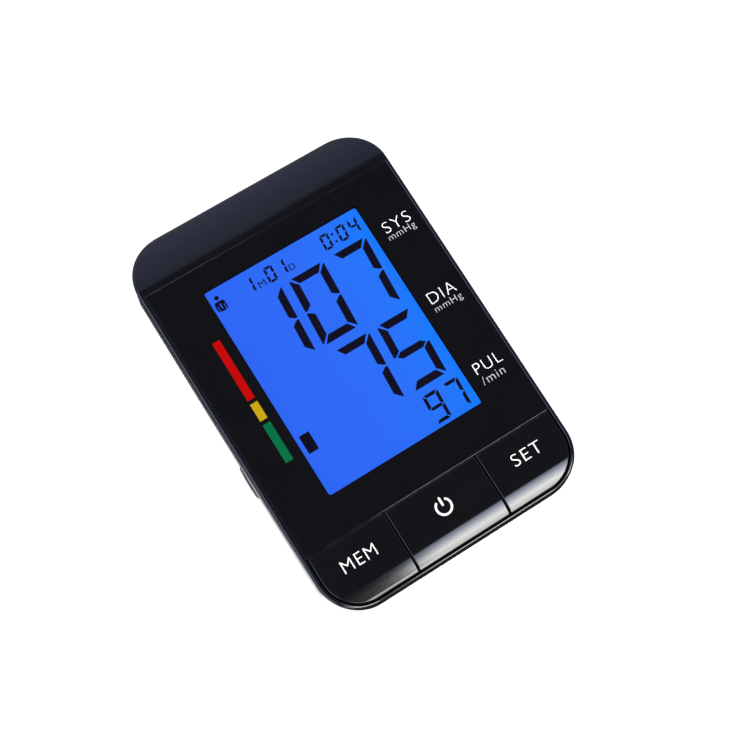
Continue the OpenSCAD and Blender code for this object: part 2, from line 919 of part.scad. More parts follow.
module motor_armature() {
    color(COPPER) pump_frame() {
        difference() {
            ring(6.3, shaft_r, 19, 30);
            for (a = [0:120:240])
                rotate([0, 0, a]) box([4, -0.8, 18], [8, 0.8, 31]);
        }
        ring(2.6, shaft_r, 30, 33);
    }
}

module motor_magnets() {
    color("#4b4d52") pump_frame() difference() {
        ring(pump_r - can_wall, 6.8, 18, 31);
        for (a = [0, 90]) rotate([0, 0, a]) box([-12, -1.2, 17], [12, 1.2, 32]);
    }
}

module motor_can() {
    color(STEEL) pump_frame() {
        ring(pump_r, pump_r - can_wall, crankcase_end, motor_end - 1);
        ring(pump_r, 2.5, crankcase_end, crankcase_end + can_wall);
    }
}

module motor_bearings() {
    color(COPPER) pump_frame() {
        ring(2.5, shaft_r + 0.03, crankcase_end - 0.5, crankcase_end + 1.6);
        ring(2.5, shaft_r + 0.03, motor_end - 1.4, motor_end);
    }
}

module motor_end_cap() {
    color(DARK) pump_frame() {
        ring(pump_r, 2.5, motor_end - 1, motor_end);
        for (a = [-90, 90]) rotate([0, 0, a]) box([6, -0.9, motor_end - eps], [6.4, 0.9, motor_end + 1.6]);
    }
}

module pump_sleeve() {
    color("#3b3b3e") pump_frame() ring(pump_r + 0.55, pump_r, 4.5, motor_end - 2);
}

// ---------- bleed valve ----------

module valve_frame() {
    half = valve_w / 2;
    color(STEEL) translate([valve_x, tee_y, 0]) {
        box([-half, -half, valve_top_z - 1], [half, half, valve_top_z]);
        for (side = [-1, 1])
            box([-half, side * half - (side > 0 ? 0.8 : 0), nozzle_top_z],
                [half, side * half + (side > 0 ? 0 : 0.8), valve_top_z - 0.5]);
    }
}

module valve_coil() {
    color(COPPER) translate([valve_x, tee_y, 0])
        ring(valve_w / 2 - 0.9, valve_bore_r, nozzle_top_z + 0.6, valve_top_z - 1);
}

module valve_plunger() {
    color("#9a9ea4") translate([valve_x, tee_y, 0]) {
        post(valve_plunger_r, nozzle_top_z - 0.1, valve_top_z - 2.2);
        post(1, seat_top_z + valve_travel + 0.05, nozzle_top_z);
    }
}

module valve_spring() {
    color(STEEL) translate([valve_x, tee_y, seat_top_z - 0.55])
        coil_spring(1.65, 1.65, 0.2, nozzle_top_z - seat_top_z + 0.42, 2);
}

module valve_nozzle() {
    half = valve_w / 2;
    color("#e6e8ea") translate([valve_x, tee_y, 0]) difference() {
        union() {
            box([-half, -half, floor_z], [half, half, nozzle_top_z]);
            translate([0, 0, tee_low_z]) bar_x(barb_r, tee_x - valve_x + 7, -half + 1);
        }
        difference() {
            post(2.5, seat_top_z - 0.6, nozzle_top_z + 1);
            post(1.2, seat_top_z - 1, seat_top_z);
        }
        post(air_hole_r, tee_low_z - 0.6, nozzle_top_z + 1);
        translate([0, 0, tee_low_z]) bar_x(air_hole_r, tee_x - valve_x, 0);
        translate([0, 0, seat_top_z + 1]) bar_x(air_hole_r, 1, 10);
    }
}

// ---------- DC jack ----------

module dc_jack() {
    outer_x = case_w / 2 - 0.2;
    color(DARK) translate([0, jack_y, jack_z]) difference() {
        union() {
            box([outer_x - 16, -4.5, -4.5], [outer_x - 4.1, 4.5, 4.5]);
            bar_x(jack_barrel_r, outer_x - 4.6, outer_x);
        }
        bar_x(jack_bore_r, outer_x - 11, outer_x + 1);
    }
}

module dc_jack_pin() {
    outer_x = case_w / 2 - 0.2;
    color(STEEL) translate([0, jack_y, jack_z]) bar_x(1, outer_x - 11, outer_x - 3.2);
}

// ---------- wiring ----------

// Point on the underside of the board, given in the face frame, in the object's frame
function board_point(x, y, drop) =
    [x, face_mid_y + y * cos(face_tilt) - (pcb_bottom_z - drop) * sin(face_tilt),
     face_mid_z + y * sin(face_tilt) + (pcb_bottom_z - drop) * cos(face_tilt)];

// Pairs of wires from the motor, the valve and the power jack to their plugs under the board
module lead_wires() {
    motor_y = pump_y + motor_end + 1.2;
    lane_x = pump_x + pump_r + 1.7;
    for (side = [-1, 1]) {
        plug = board_point(connector_x[0] + side, connector_y, 2.9);
        color(side > 0 ? RED : DARK) wire([
            [pump_x, motor_y + 1, pump_z + side * 6.2],
            [lane_x, motor_y + 1, pump_z + side * 4],
            [lane_x, tee_y - 9, pump_z + side - 1],
            [plug[0] - 2, plug[1] + 3, plug[2] - 2.5],
            plug
        ]);
    }
    for (side = [-1, 1]) {
        plug = board_point(connector_x[1] + side, connector_y, 2.9);
        color("#d8b020") wire([
            [valve_x + side * 2, tee_y - valve_w / 2 - 0.6, valve_top_z - 4],
            [valve_x + side * 2 + 3, tee_y - valve_w / 2 - 3.5, valve_top_z - 6],
            [plug[0], plug[1] + 2, plug[2] - 2],
            plug
        ]);
    }
    for (side = [-1, 1]) {
        plug = board_point(connector_x[2] - side, connector_y, 2.9);
        color(side > 0 ? RED : DARK) wire([
            [case_w / 2 - 16.9, jack_y + side * 2, jack_z],
            [case_w / 2 - 23, jack_y + side * 2 - 4, jack_z - side],
            [plug[0], plug[1] + 2, plug[2] - 2],
            plug
        ]);
    }
}

upper_housing();
lower_housing();
display_lens();
lens_tape();
lcd_panel();
light_guide();
backlight_leds();
lcd_holder();
contact_strip();
mem_key();
power_key();
set_key();
switch_bodies();
mem_switch_plunger();
power_switch_plunger();
set_switch_plunger();
main_pcb();
pcb_screws();
processor_chip();
capacitors();
buzzer();
wire_connectors();
pressure_sensor();
case_screws();
rubber_feet();
battery_door();
door_latch();
aa_cells();
battery_springs();
battery_contacts();
air_socket();
tube_tee();
air_tubes();
dc_jack();
dc_jack_pin();
pump_cover();
pump_valve_plate();
pump_diaphragm();
pump_crankcase();
pump_yoke();
pump_eccentric();
motor_shaft();
motor_armature();
motor_magnets();
motor_can();
motor_bearings();
motor_end_cap();
pump_sleeve();
valve_frame();
valve_coil();
valve_plunger();
valve_spring();
valve_nozzle();
lead_wires();
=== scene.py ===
"""Looks of the upper arm blood pressure monitor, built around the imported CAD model.

Lengths are in millimetres until a mesh is finished. Places are given either in the row frame
(x right, y rear, z up) or in the face frame (x right, v up the sloping face, w out of the face),
whose origin comes from the CAD lens.
"""

import math

import bmesh
import bpy
from mathutils import Matrix, Vector


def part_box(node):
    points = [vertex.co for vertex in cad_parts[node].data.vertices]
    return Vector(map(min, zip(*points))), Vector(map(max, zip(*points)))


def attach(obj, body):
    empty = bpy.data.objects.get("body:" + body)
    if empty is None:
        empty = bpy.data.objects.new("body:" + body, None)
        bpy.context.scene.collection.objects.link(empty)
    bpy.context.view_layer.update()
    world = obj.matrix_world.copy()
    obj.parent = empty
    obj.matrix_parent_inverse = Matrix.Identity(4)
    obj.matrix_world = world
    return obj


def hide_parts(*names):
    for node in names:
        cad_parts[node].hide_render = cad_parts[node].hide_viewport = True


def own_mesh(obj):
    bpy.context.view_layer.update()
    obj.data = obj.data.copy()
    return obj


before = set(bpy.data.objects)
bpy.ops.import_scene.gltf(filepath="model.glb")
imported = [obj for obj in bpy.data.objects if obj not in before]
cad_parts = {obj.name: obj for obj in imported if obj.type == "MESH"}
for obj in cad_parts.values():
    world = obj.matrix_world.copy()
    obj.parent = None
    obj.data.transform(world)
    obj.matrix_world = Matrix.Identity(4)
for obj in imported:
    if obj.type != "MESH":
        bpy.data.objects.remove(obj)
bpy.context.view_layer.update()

MM = 0.001
TILT = math.radians(11)

# Case outline and shell
CASE_W = 98.0
CASE_L = 144.0
CORNER_R = 15.5
UPPER_DEPTH = 13.0
WALL = 1.8
RIM = 1.5
TOP_FILLET = 0.9
RIM_FILLET = 0.55
BROW_EDGE_SHARE = 0.2
PARTING_CHAMFER = 0.3
FRONT_CURVE_R = 10.0
FRONT_CURVE_START = -CASE_L / 2 + 8.5
REAR_CURVE_R = 45.0
REAR_CURVE_START = CASE_L / 2 - 16
SEAT_Z = -2.2
SHELF_Z = -3.8
FOOT_H = 1.5
FLOOR_Z = FOOT_H + WALL
SIDE_DRAFT = 3.0
END_DRAFT = 6.0
BASE_FILLET = 3.0
ARC_STEPS = 24

# Display
LENS_FRONT = -CASE_L / 2 + 24.7
LENS_REAR = CASE_L / 2 - 17.1
LENS_T = 2.0
LENS_EDGE = 0.12
WINDOW_W = 60.0
WINDOW_L = 80.0
WINDOW_UP = 6.3
LCD_TOP = -3.9
PRINT_T = 0.02
SLANT = 0.064

# Keys
KEY_REAR = LENS_FRONT - 0.2
KEY_INSET = 2.1
POWER_HALF = 17.6
SIDE_KEY_IN = POWER_HALF + 0.5
KEY_SKIRT = -4.5
KEY_EDGE = 0.35
KEY_WALL = 1.2
KEY_TOP_T = 1.8
KEY_FRONT = -CASE_L / 2 + KEY_INSET
PIVOT_V = LENS_FRONT - 2.7
PIVOT_W = -4.8
PIN_R = 1.0
BRACKET_X = [side * x for side in (-1, 1) for x in (11.5, 24.4, 40.6)]
BOARD_TOP = -10.0
STEM_END = BOARD_TOP + 4.94

# Battery bay, door and hinge
BAY_X = (-21.5, 35.0)
BAY_Y = (-1.0, 57.8)
BAY_MID_X = sum(BAY_X) / 2
BAY_TOP = 18.55
BAY_WALL = 1.5
DOOR_T = 1.8
DOOR_LIP = 2.0
DOOR_GAP = 0.25
DOOR_FRONT = BAY_Y[0] - DOOR_LIP + DOOR_GAP
HINGE_Y = BAY_Y[1] + 1.2
BARREL_R = 1.4
HINGE_Z = FOOT_H + BARREL_R
DOOR_PIN_R = 0.79
LATCH_HALF = 7.0
NOSE_Z = 5.05

# Feet, screws and ports
FEET = [(x, y) for x in (-41.4, 41.4) for y in (-50.0, 44.0)]
FOOT_R = 4.2
POSTS = [(-42.8, -34.0), (42.8, -34.0), (-42.0, 55.0), (42.0, 55.0)]
PORT_Z = 9.5
SOCKET_Y = -11.0
SOCKET_END = -CASE_W / 2 + 0.1
JACK_Y = -12.0
JACK_END = CASE_W / 2 - 0.2
PAD_X = CASE_W / 2 - 0.6
PAD_R = 6.6
PUMP_X = -34.8
PUMP_Y = 16.0
PUMP_R = 11.0
BASE_STEPS = 6

# Fasteners and gaps
POST_R = 3.2
PILOT_R = 1.05
PIN_GAP = 0.08
APART = 0.01

# Light
CARD_FRONT = 72.2
CARD_LEFT = 50.0
CARD_LIGHT = 0.05
FLOOR_GLOW = 0.5


def face_origin():
    """Origin of the face frame in the row frame, from the middle of the CAD lens."""
    low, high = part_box("display_lens")
    to_middle = Vector((0, (LENS_FRONT + LENS_REAR) / 2, -LENS_T / 2))
    return (low + high) / 2 / MM - Matrix.Rotation(TILT, 3, "X") @ to_middle


FACE = Matrix.Translation(face_origin()) @ Matrix.Rotation(TILT, 4, "X")
ROW = Matrix.Identity(4)
TO_METRES = Matrix.Scale(MM, 4)


# ---------- mesh helpers ----------

def rounded(half_w, half_l, radius, stop=None):
    """Rounded rectangle, anticlockwise from the right side, with one extra point a side at v = stop."""
    side_x = half_w - radius
    side_y = half_l - radius
    points = [] if stop is None else [(half_w, stop)]
    for sx, sy, start in ((1, 1, 0), (-1, 1, 90), (-1, -1, 180), (1, -1, 270)):
        for i in range(ARC_STEPS + 1):
            a = math.radians(start + 90 * i / ARC_STEPS)
            points.append((sx * side_x + radius * math.cos(a), sy * side_y + radius * math.sin(a)))
        if start == 90 and stop is not None:
            points.append((-half_w, stop))
    return points


def case_outline(inset, stop=None):
    return rounded(CASE_W / 2 - inset, CASE_L / 2 - inset, CORNER_R - inset, stop)


def base_outline(inset):
    """Outline of the case where it meets the table side."""
    return rounded(CASE_W / 2 - SIDE_DRAFT - inset, CASE_L / 2 - END_DRAFT - inset,
                   CORNER_R - SIDE_DRAFT - inset)


def plan(x0, x1, y0, y1, radii, inset=0.0, steps=12):
    """Rectangle with a radius at each corner: front left, front right, rear right, rear left."""
    corners = ((x0, y0, 1, 1, 180), (x1, y0, -1, 1, 270), (x1, y1, -1, -1, 0), (x0, y1, 1, -1, 90))
    points = []
    for (x, y, dx, dy, start), radius in zip(corners, radii):
        r = max(radius - inset, 0.05)
        for i in range(steps + 1):
            a = math.radians(start + 90 * i / steps)
            points.append((x + dx * (inset + r) + r * math.cos(a), y + dy * (inset + r) + r * math.sin(a)))
    return points


def disc(r, cx=0.0, cy=0.0, steps=48):
    turn = [2 * math.pi * i / steps for i in range(steps)]
    return [(cx + r * math.cos(a), cy + r * math.sin(a)) for a in turn]


def ring(bm, points, level):
    return [bm.verts.new((x, y, level)) for x, y in points]


def skin(bm, a, b):
    """Quads between two closed rings of the same length."""
    n = len(a)
    for i in range(n):
        j = (i + 1) % n
        bm.faces.new((a[i], a[j], b[j], b[i]))


def quarter(radius, steps):
    """(inset, level) of a quarter-round edge, from the wall up to the flat top at level 0."""
    turn = [math.pi / 2 * i / steps for i in range(steps + 1)]
    return [(radius * (1 - math.cos(a)), -radius * (1 - math.sin(a))) for a in turn]


def solid(bm, outline_of, profile):
    """Closed solid through rings: outline_of(inset) gives the plan, profile lists (inset, level)."""
    rings = [ring(bm, outline_of(inset), level) for inset, level in profile]
    for a, b in zip(rings, rings[1:]):
        skin(bm, a, b)
    bm.faces.new(rings[0])
    bm.faces.new(rings[-1])
    return rings


def prism(bm, points, z0, z1):
    solid(bm, lambda inset: points, [(0, z0), (0, z1)])


def block(bm, low, high, edge=0.3):
    """Box between two corners with small rounded edges."""
    (x0, y0, z0), (x1, y1, z1) = low, high
    edge = min(edge, (x1 - x0) / 4, (y1 - y0) / 4, (z1 - z0) / 4)
    top = [(inset, z1 + level) for inset, level in quarter(edge, 3)]
    bottom = [(inset, z0 - level) for inset, level in reversed(quarter(edge, 3))]
    solid(bm, lambda inset: plan(x0, x1, y0, y1, [edge] * 4, inset, 3), bottom + top)


def lathe(bm, profile, matrix=ROW, steps=64):
    """Closed solid of revolution about z; profile is a closed list of (radius, height)."""
    rows = [ring(bm, disc(r, steps=steps) if r else [(0, 0)], z) for r, z in profile]
    for a, b in zip(rows, rows[1:] + rows[:1]):
        if len(a) > 1 and len(b) > 1:
            skin(bm, a, b)
        elif len(a) != len(b):
            pole, circle = sorted((a, b), key=len)
            for i in range(steps):
                bm.faces.new((pole[0], circle[i], circle[(i + 1) % steps]))
    bmesh.ops.transform(bm, matrix=matrix, verts=[v for row in rows for v in row])


def cylinder(radius, low, high):
    """Profile of a plain cylinder for lathe."""
    return [(0, low), (radius, low), (radius, high), (0, high)]


def along_x(x, y, z, forward=True):
    """Places a lathe's z axis along +x or -x of the row frame."""
    turn = math.pi / 2 if forward else -math.pi / 2
    return Matrix.Translation((x, y, z)) @ Matrix.Rotation(turn, 4, "Y")


def top_drop(v):
    """How far the top surface has fallen below the flat face at v."""
    if v < FRONT_CURVE_START:
        run = min(FRONT_CURVE_START - v, FRONT_CURVE_R)
        return FRONT_CURVE_R - math.sqrt(FRONT_CURVE_R ** 2 - run ** 2)
    if v > REAR_CURVE_START:
        run = v - REAR_CURVE_START
        return REAR_CURVE_R - math.sqrt(REAR_CURVE_R ** 2 - run ** 2)
    return 0.0


def drape(bm, above=-3.0):
    """Slices the mesh at even turns of the front and rear curves and lowers it onto them above a level."""
    front = [FRONT_CURVE_START - FRONT_CURVE_R * math.sin(math.radians(3 * i)) for i in range(20)]
    rear = [REAR_CURVE_START + REAR_CURVE_R * math.sin(math.radians(1.7 * i)) for i in range(13)]
    for v in front + rear:
        everything = bm.verts[:] + bm.edges[:] + bm.faces[:]
        bmesh.ops.bisect_plane(bm, geom=everything, dist=1e-4, plane_co=(0, v, 0), plane_no=(0, 1, 0))
    for vert in bm.verts:
        if vert.co.z > above:
            vert.co.z -= top_drop(vert.co.y)


def solid_box(bm, low, high):
    """Plain box between two corners."""
    (x0, y0, z0), (x1, y1, z1) = low, high
    prism(bm, [(x0, y0), (x1, y0), (x1, y1), (x0, y1)], z0, z1)


def round_bar(bm, radius, x0, x1, y, z, turn=0.0):
    """Round bar along x; a turn keeps its facets off those of another bar on the same axis."""
    place = along_x(x0, y, z) @ Matrix.Rotation(turn, 4, "Z")
    lathe(bm, cylinder(radius, 0, x1 - x0), place, steps=24)


def split_height(y):
    """Height of the parting plane above the table at y."""
    origin = FACE.to_translation()
    return origin.z + (y - origin.y) * math.tan(TILT) - UPPER_DEPTH / math.cos(TILT)


def link(name, bm, matrix, angle=35):
    """Turns a bmesh in millimetres into an object in metres, smooth except at edges over angle."""
    bmesh.ops.remove_doubles(bm, verts=bm.verts, dist=2e-4)
    bmesh.ops.dissolve_degenerate(bm, edges=bm.edges, dist=1e-5)
    bmesh.ops.recalc_face_normals(bm, faces=bm.faces)
    for face in bm.faces:
        face.smooth = True
    for edge in bm.edges:
        edge.smooth = edge.calc_face_angle(0) < math.radians(angle)
    bm.transform(matrix)
    bm.transform(TO_METRES)
    mesh = bpy.data.meshes.new(name)
    bm.to_mesh(mesh)
    bm.free()
    obj = bpy.data.objects.new(name, mesh)
    bpy.context.scene.collection.objects.link(obj)
    return obj


def piece(name, bm, body, material, matrix=FACE, stands_for=None):
    obj = link(name, bm, matrix)
    obj.data.materials.append(material)
    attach(obj, body)
    if stands_for:
        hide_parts(stands_for)
    return obj


def even_shading(obj):
    """Keeps large flat faces flat beside narrow rounded edges."""
    weighted = obj.modifiers.new("even_shading", "WEIGHTED_NORMAL")
    weighted.keep_sharp = True
    weighted.weight = 90


def made(build, *values):
    """New bmesh holding one shape."""
    bm = bmesh.new()
    build(bm, *values)
    return bm


def combine(bm, adds=(), cuts=()):
    """bm with each shape of adds joined on and then each of cuts taken away, in millimetres."""
    base = link("combine_base", bm, ROW, 180)
    tools = []
    for operation, shapes in (("UNION", adds), ("DIFFERENCE", cuts)):
        for shape in shapes:
            obj = link("combine_tool", shape, ROW, 180)
            tools.append(obj)
            boolean = base.modifiers.new("combine", "BOOLEAN")
            boolean.operation = operation
            boolean.solver = "EXACT"
            boolean.object = obj
    bpy.context.view_layer.update()
    joined = bmesh.new()
    joined.from_object(base, bpy.context.evaluated_depsgraph_get())
    joined.transform(TO_METRES.inverted())
    for obj in [base] + tools:
        bpy.data.objects.remove(obj)
    return joined


# ---------- materials ----------

def linear(r, g, b):
    """Linear colour of an sRGB colour given as 0 to 255."""
    def one(c):
        c /= 255
        return c / 12.92 if c <= 0.04045 else ((c + 0.055) / 1.055) ** 2.4
    return (one(r), one(g), one(b), 1.0)


def feed(tree, node, values):
    """Sets inputs of a node, by name or number, from plain values or from outputs of other nodes."""
    for name, value in values.items():
        if isinstance(value, bpy.types.NodeSocket):
            tree.links.new(value, node.inputs[name])
        else:
            node.inputs[name].default_value = value


def add(tree, kind, values=None, **settings):
    """New shader node with its settings and inputs."""
    node = tree.nodes.new("ShaderNode" + kind)
    for name, value in settings.items():
        setattr(node, name, value)
    feed(tree, node, values or {})
    return node


def blank(name):
    mat = bpy.data.materials.new(name)
    mat.use_nodes = True
    return mat, mat.node_tree, mat.node_tree.nodes["Principled BSDF"]


def object_place(tree):
    return add(tree, "TexCoord").outputs["Object"]


def grain(tree, scale, detail=4.0):
    values = {"Vector": object_place(tree), "Scale": scale, "Detail": detail}
    return add(tree, "TexNoise", values).outputs["Fac"]


def spread(tree, source, low, high, start=0.0, end=1.0):
    """Maps a value from start..end onto low..high."""
    values = {"Value": source, "From Min": start, "From Max": end, "To Min": low, "To Max": high}
    return add(tree, "MapRange", values).outputs["Result"]


def two_tone(tree, share, first, second):
    return add(tree, "Mix", {0: share, 6: first, 7: second}, data_type="RGBA").outputs[2]


def colour_ramp(tree, source, stops, interpolation="LINEAR"):
    """Colours along a value from 0 to 1, as (place, colour) pairs from 0 upwards."""
    ramp = add(tree, "ValToRGB", {"Fac": source})
    ramp.color_ramp.interpolation = interpolation
    elements = ramp.color_ramp.elements
    for element, (place, colour) in zip(elements, (stops[0], stops[-1])):
        element.position = place
        element.color = colour
    for place, colour in stops[1:-1]:
        elements.new(place).color = colour
    return ramp.outputs["Color"]


def mixed_shader(tree, share, first, second):
    return add(tree, "MixShader", {"Fac": share, 1: first, 2: second}).outputs["Shader"]


def split_vector(tree, vector):
    return add(tree, "SeparateXYZ", {"Vector": vector}).outputs


def calculate(tree, operation, *values):
    """Math node; a value is a socket or a number."""
    return add(tree, "Math", dict(enumerate(values)), operation=operation).outputs["Value"]


def relief(tree, bsdf, height, strength):
    bump = add(tree, "Bump", {"Height": height, "Strength": strength, "Distance": 0.1 * MM})
    feed(tree, bsdf, {"Normal": bump.outputs["Normal"]})


def surface(name, colour, rough, metal=0.0, tone=0.12, cloud=250.0, pits=2500.0, bump=0.04, shine=0.5):
    """Plastic, rubber or metal: clouded colour, uneven roughness and a fine surface grain."""
    mat, tree, bsdf = blank(name)
    base = linear(*colour)
    darker = tuple(c * (1 - tone) for c in base[:3]) + (1.0,)
    lighter = tuple(min(1.0, c * (1 + tone)) for c in base[:3]) + (1.0,)
    clouds = grain(tree, cloud)
    feed(tree, bsdf, {"Base Color": two_tone(tree, clouds, darker, lighter),
                      "Roughness": spread(tree, clouds, rough * 0.75, rough * 1.25),
                      "Metallic": metal, "Specular IOR Level": shine})
    relief(tree, bsdf, grain(tree, pits, 2.0), bump)
    return mat


def face_position(tree):
    """x, v and w of the shaded point in the face frame, in metres."""
    inverse = (TO_METRES @ FACE @ TO_METRES.inverted()).inverted()
    values = {"Vector": object_place(tree), "Location": inverse.to_translation(),
              "Rotation": inverse.to_euler()}
    return split_vector(tree, add(tree, "Mapping", values).outputs["Vector"])


def clear_window():
    """Clear part of the lens: see-through, with a thin uneven shine on its outer side only."""
    mat, tree, bsdf = blank("lens_clear")
    tree.nodes.remove(bsdf)
    clear = add(tree, "BsdfTransparent", {"Color": (0.985, 0.99, 1.0, 1.0)})
    shine = add(tree, "BsdfGlossy", {"Roughness": spread(tree, grain(tree, 90), 0.03, 0.07)})
    fresnel = add(tree, "Fresnel", {"IOR": 1.3})
    inside = add(tree, "NewGeometry").outputs["Backfacing"]
    outer_only = calculate(tree, "MULTIPLY", fresnel.outputs["Fac"], spread(tree, inside, 1.0, 0.0))
    mix = mixed_shader(tree, outer_only, clear.outputs["BSDF"], shine.outputs["BSDF"])
    feed(tree, tree.nodes["Material Output"], {"Surface": mix})
    return mat


def backlit_blue():
    """Blue backlight, brighter and greener towards the lamps at the right edge."""
    mat, tree, bsdf = blank("lcd_backlight")
    x = face_position(tree)[0]
    across = spread(tree, x, 0.0, 1.0, -WINDOW_W / 2 * MM, WINDOW_W / 2 * MM)
    cloud = spread(tree, grain(tree, 35, 2.0), -0.15, 0.15)
    total = calculate(tree, "ADD", across, cloud)
    blues = ((0.0, (46, 104, 246)), (0.5, (45, 108, 247)), (0.85, (38, 116, 250)), (1.0, (24, 122, 252)))
    stops = [(place, linear(*colour)) for place, colour in blues]
    feed(tree, bsdf, {"Emission Color": colour_ramp(tree, total, stops), "Emission Strength": 1.0,
                      "Base Color": linear(8, 12, 30), "Specular IOR Level": 0.0,
                      "Roughness": spread(tree, grain(tree, 400), 0.3, 0.4)})
    return mat


def marked(name, colour, rough, light):
    """Liquid-crystal mark, lit faintly from behind."""
    mat = surface(name, colour, rough, tone=0.05, bump=0.01, shine=0.0)
    bsdf = mat.node_tree.nodes["Principled BSDF"]
    feed(mat.node_tree, bsdf, {"Emission Color": linear(*colour), "Emission Strength": light})
    return mat


def board_green():
    """Solder mask over copper tracks."""
    mat, tree, bsdf = blank("board_green")
    values = {"Color1": linear(24, 92, 52), "Color2": linear(28, 102, 58), "Mortar": linear(70, 140, 80),
              "Scale": 180, "Mortar Size": 0.035, "Vector": object_place(tree)}
    tracks = add(tree, "TexBrick", values)
    feed(tree, bsdf, {"Base Color": tracks.outputs["Color"],
                      "Roughness": spread(tree, grain(tree, 300), 0.25, 0.4)})
    relief(tree, bsdf, tracks.outputs["Fac"], 0.4)
    return mat


def wound(name, colour, scale, direction):
    """Fine wire wound side by side."""
    mat = surface(name, colour, 0.35, metal=0.9, cloud=600)
    tree = mat.node_tree
    wave = add(tree, "TexWave", {"Scale": scale, "Vector": object_place(tree)}, bands_direction=direction)
    relief(tree, tree.nodes["Principled BSDF"], wave.outputs["Fac"], 0.8)
    return mat


def cell_jacket():
    """Printed battery jacket: bare metal ends, a dark band and a light band."""
    mat, tree, bsdf = blank("cell_jacket")
    x = split_vector(tree, object_place(tree))["X"]
    low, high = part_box("aa_cells")
    metal = (196, 198, 200)
    bands = ((0.0, metal), (0.045, (38, 44, 58)), (0.68, (150, 158, 170)), (0.955, metal))
    stops = [(place, linear(*colour)) for place, colour in bands]
    along = spread(tree, x, 0.0, 1.0, low.x, high.x)
    feed(tree, bsdf, {"Base Color": colour_ramp(tree, along, stops, "CONSTANT"), "Metallic": 0.5,
                      "Roughness": spread(tree, grain(tree, 500), 0.22, 0.36)})
    relief(tree, bsdf, grain(tree, 1500), 0.05)
    return mat


def gloss_black(name, colour, rough, bump):
    """Glossy moulded black: a faint orange-peel surface and hair-fine changes of polish."""
    mat, tree, bsdf = blank(name)
    lighter = linear(*[c + 3 for c in colour])
    feed(tree, bsdf, {"Base Color": two_tone(tree, grain(tree, 60), linear(*colour), lighter),
                      "Roughness": spread(tree, grain(tree, 700), rough * 0.8, rough * 1.2)})
    relief(tree, bsdf, grain(tree, 160, 3.0), bump)
    return mat


BLACK = gloss_black("gloss_black", (12, 12, 14), 0.09, 0.03)
LENS_BLACK = gloss_black("lens_black", (10, 10, 13), 0.05, 0.01)
CLEAR = clear_window()
BLUE = backlit_blue()
BASE_BLACK = surface("satin_black", (20, 20, 22), 0.38, tone=0.2, pits=3500, bump=0.12)
SEGMENT = marked("lcd_segment", (10, 8, 20), 0.5, 0.9)
WHITE_INK = surface("white_ink", (236, 238, 240), 0.5, tone=0.03)
GREY_INK = surface("grey_ink", (176, 178, 180), 0.5, tone=0.04)
RED_INK = surface("red_ink", (158, 0, 0), 0.6, tone=0.05, shine=0.05)
YELLOW_INK = surface("yellow_ink", (162, 134, 8), 0.6, tone=0.05, shine=0.05)
GREEN_INK = surface("green_ink", (0, 90, 54), 0.6, tone=0.05, shine=0.05)
RUBBER = surface("foot_rubber", (34, 34, 36), 0.8, tone=0.2, bump=0.25)
PORT_GREY = surface("port_plastic", (48, 50, 56), 0.4)
JACK_BLACK = surface("jack_plastic", (22, 22, 24), 0.5)
SPRING_STEEL = surface("spring_steel", (196, 198, 200), 0.22, metal=1.0, cloud=700)


# ---------- upper half of the case, in the face frame ----------

LEFT_STOP = 1 + 2 * (ARC_STEPS + 1)


def shell_points(inset):
    return case_outline(inset, LENS_REAR + BROW_EDGE_SHARE * (RIM - inset))


def opening_points(inset):
    """Left side, front and right side of the outline, up to the straight front edge of the brow."""
    points = shell_points(inset)
    return points[LEFT_STOP:] + points[:1]


def rim_and_brow(bm, around, opening):
    """Level surface between a full outline and the opening: quads along the rim, one face for the brow."""
    n = len(around)
    for k in range(len(opening) - 1):
        i = (LEFT_STOP + k) % n
        bm.faces.new((around[i], around[(i + 1) % n], opening[k + 1], opening[k]))
    bm.faces.new(around[:LEFT_STOP + 1] + [opening[0], opening[-1]])


def upper_walls():
    bm = bmesh.new()
    outside = [(PARTING_CHAMFER, -UPPER_DEPTH), (0, PARTING_CHAMFER - UPPER_DEPTH)] + quarter(TOP_FILLET, 6)
    outer = [ring(bm, shell_points(inset), level) for inset, level in outside]
    edge = [(RIM - inset, level) for inset, level in reversed(quarter(RIM_FILLET, 6))]
    inner = [ring(bm, opening_points(inset), level) for inset, level in edge + [(RIM, SHELF_Z)]]
    under = [ring(bm, shell_points(WALL), level) for level in (SHELF_Z, -UPPER_DEPTH)]
    for rings in (outer, inner, under, [under[-1], outer[0]]):
        for a, b in zip(rings, rings[1:]):
            skin(bm, a, b)
    rim_and_brow(bm, outer[-1], inner[0])
    rim_and_brow(bm, under[0], inner[-1])
    drape(bm)
    return bm


def upper_fittings():
    """Lens shelf, key brackets and board bosses under the face."""
    half = CASE_W / 2 - RIM + 0.05
    shapes = [made(solid_box, (-half, LENS_FRONT, SHELF_Z - 0.04), (half, LENS_REAR + 0.4, SEAT_Z))]
    for x in BRACKET_X:
        low = (x - 1.2, PIVOT_V - 2.4, PIVOT_W - 2.4)
        shapes.append(made(solid_box, low, (x + 1.2, PIVOT_V + 5, -2.9)))
    for x, v in ((-32.5, LENS_FRONT), (32.5, LENS_FRONT), (-30, 56.8), (30, 56.8)):
        shapes.append(made(prism, disc(2.5, x, v), BOARD_TOP, SHELF_Z + 0.6))
    return shapes


def upper_cuts():
    """Display window and pivot holes."""
    reach_x = (WINDOW_W + 1.5) / 2
    reach_v = (WINDOW_L + 1.5) / 2
    window = plan(-reach_x, reach_x, WINDOW_UP - reach_v, WINDOW_UP + reach_v, [1.5] * 4)
    shapes = [made(prism, window, SHELF_Z - 1, SEAT_Z + 1)]
    for x in BRACKET_X:
        shapes.append(made(round_bar, PIN_R + PIN_GAP, x - 1.5, x + 1.5, PIVOT_V, PIVOT_W))
    return shapes


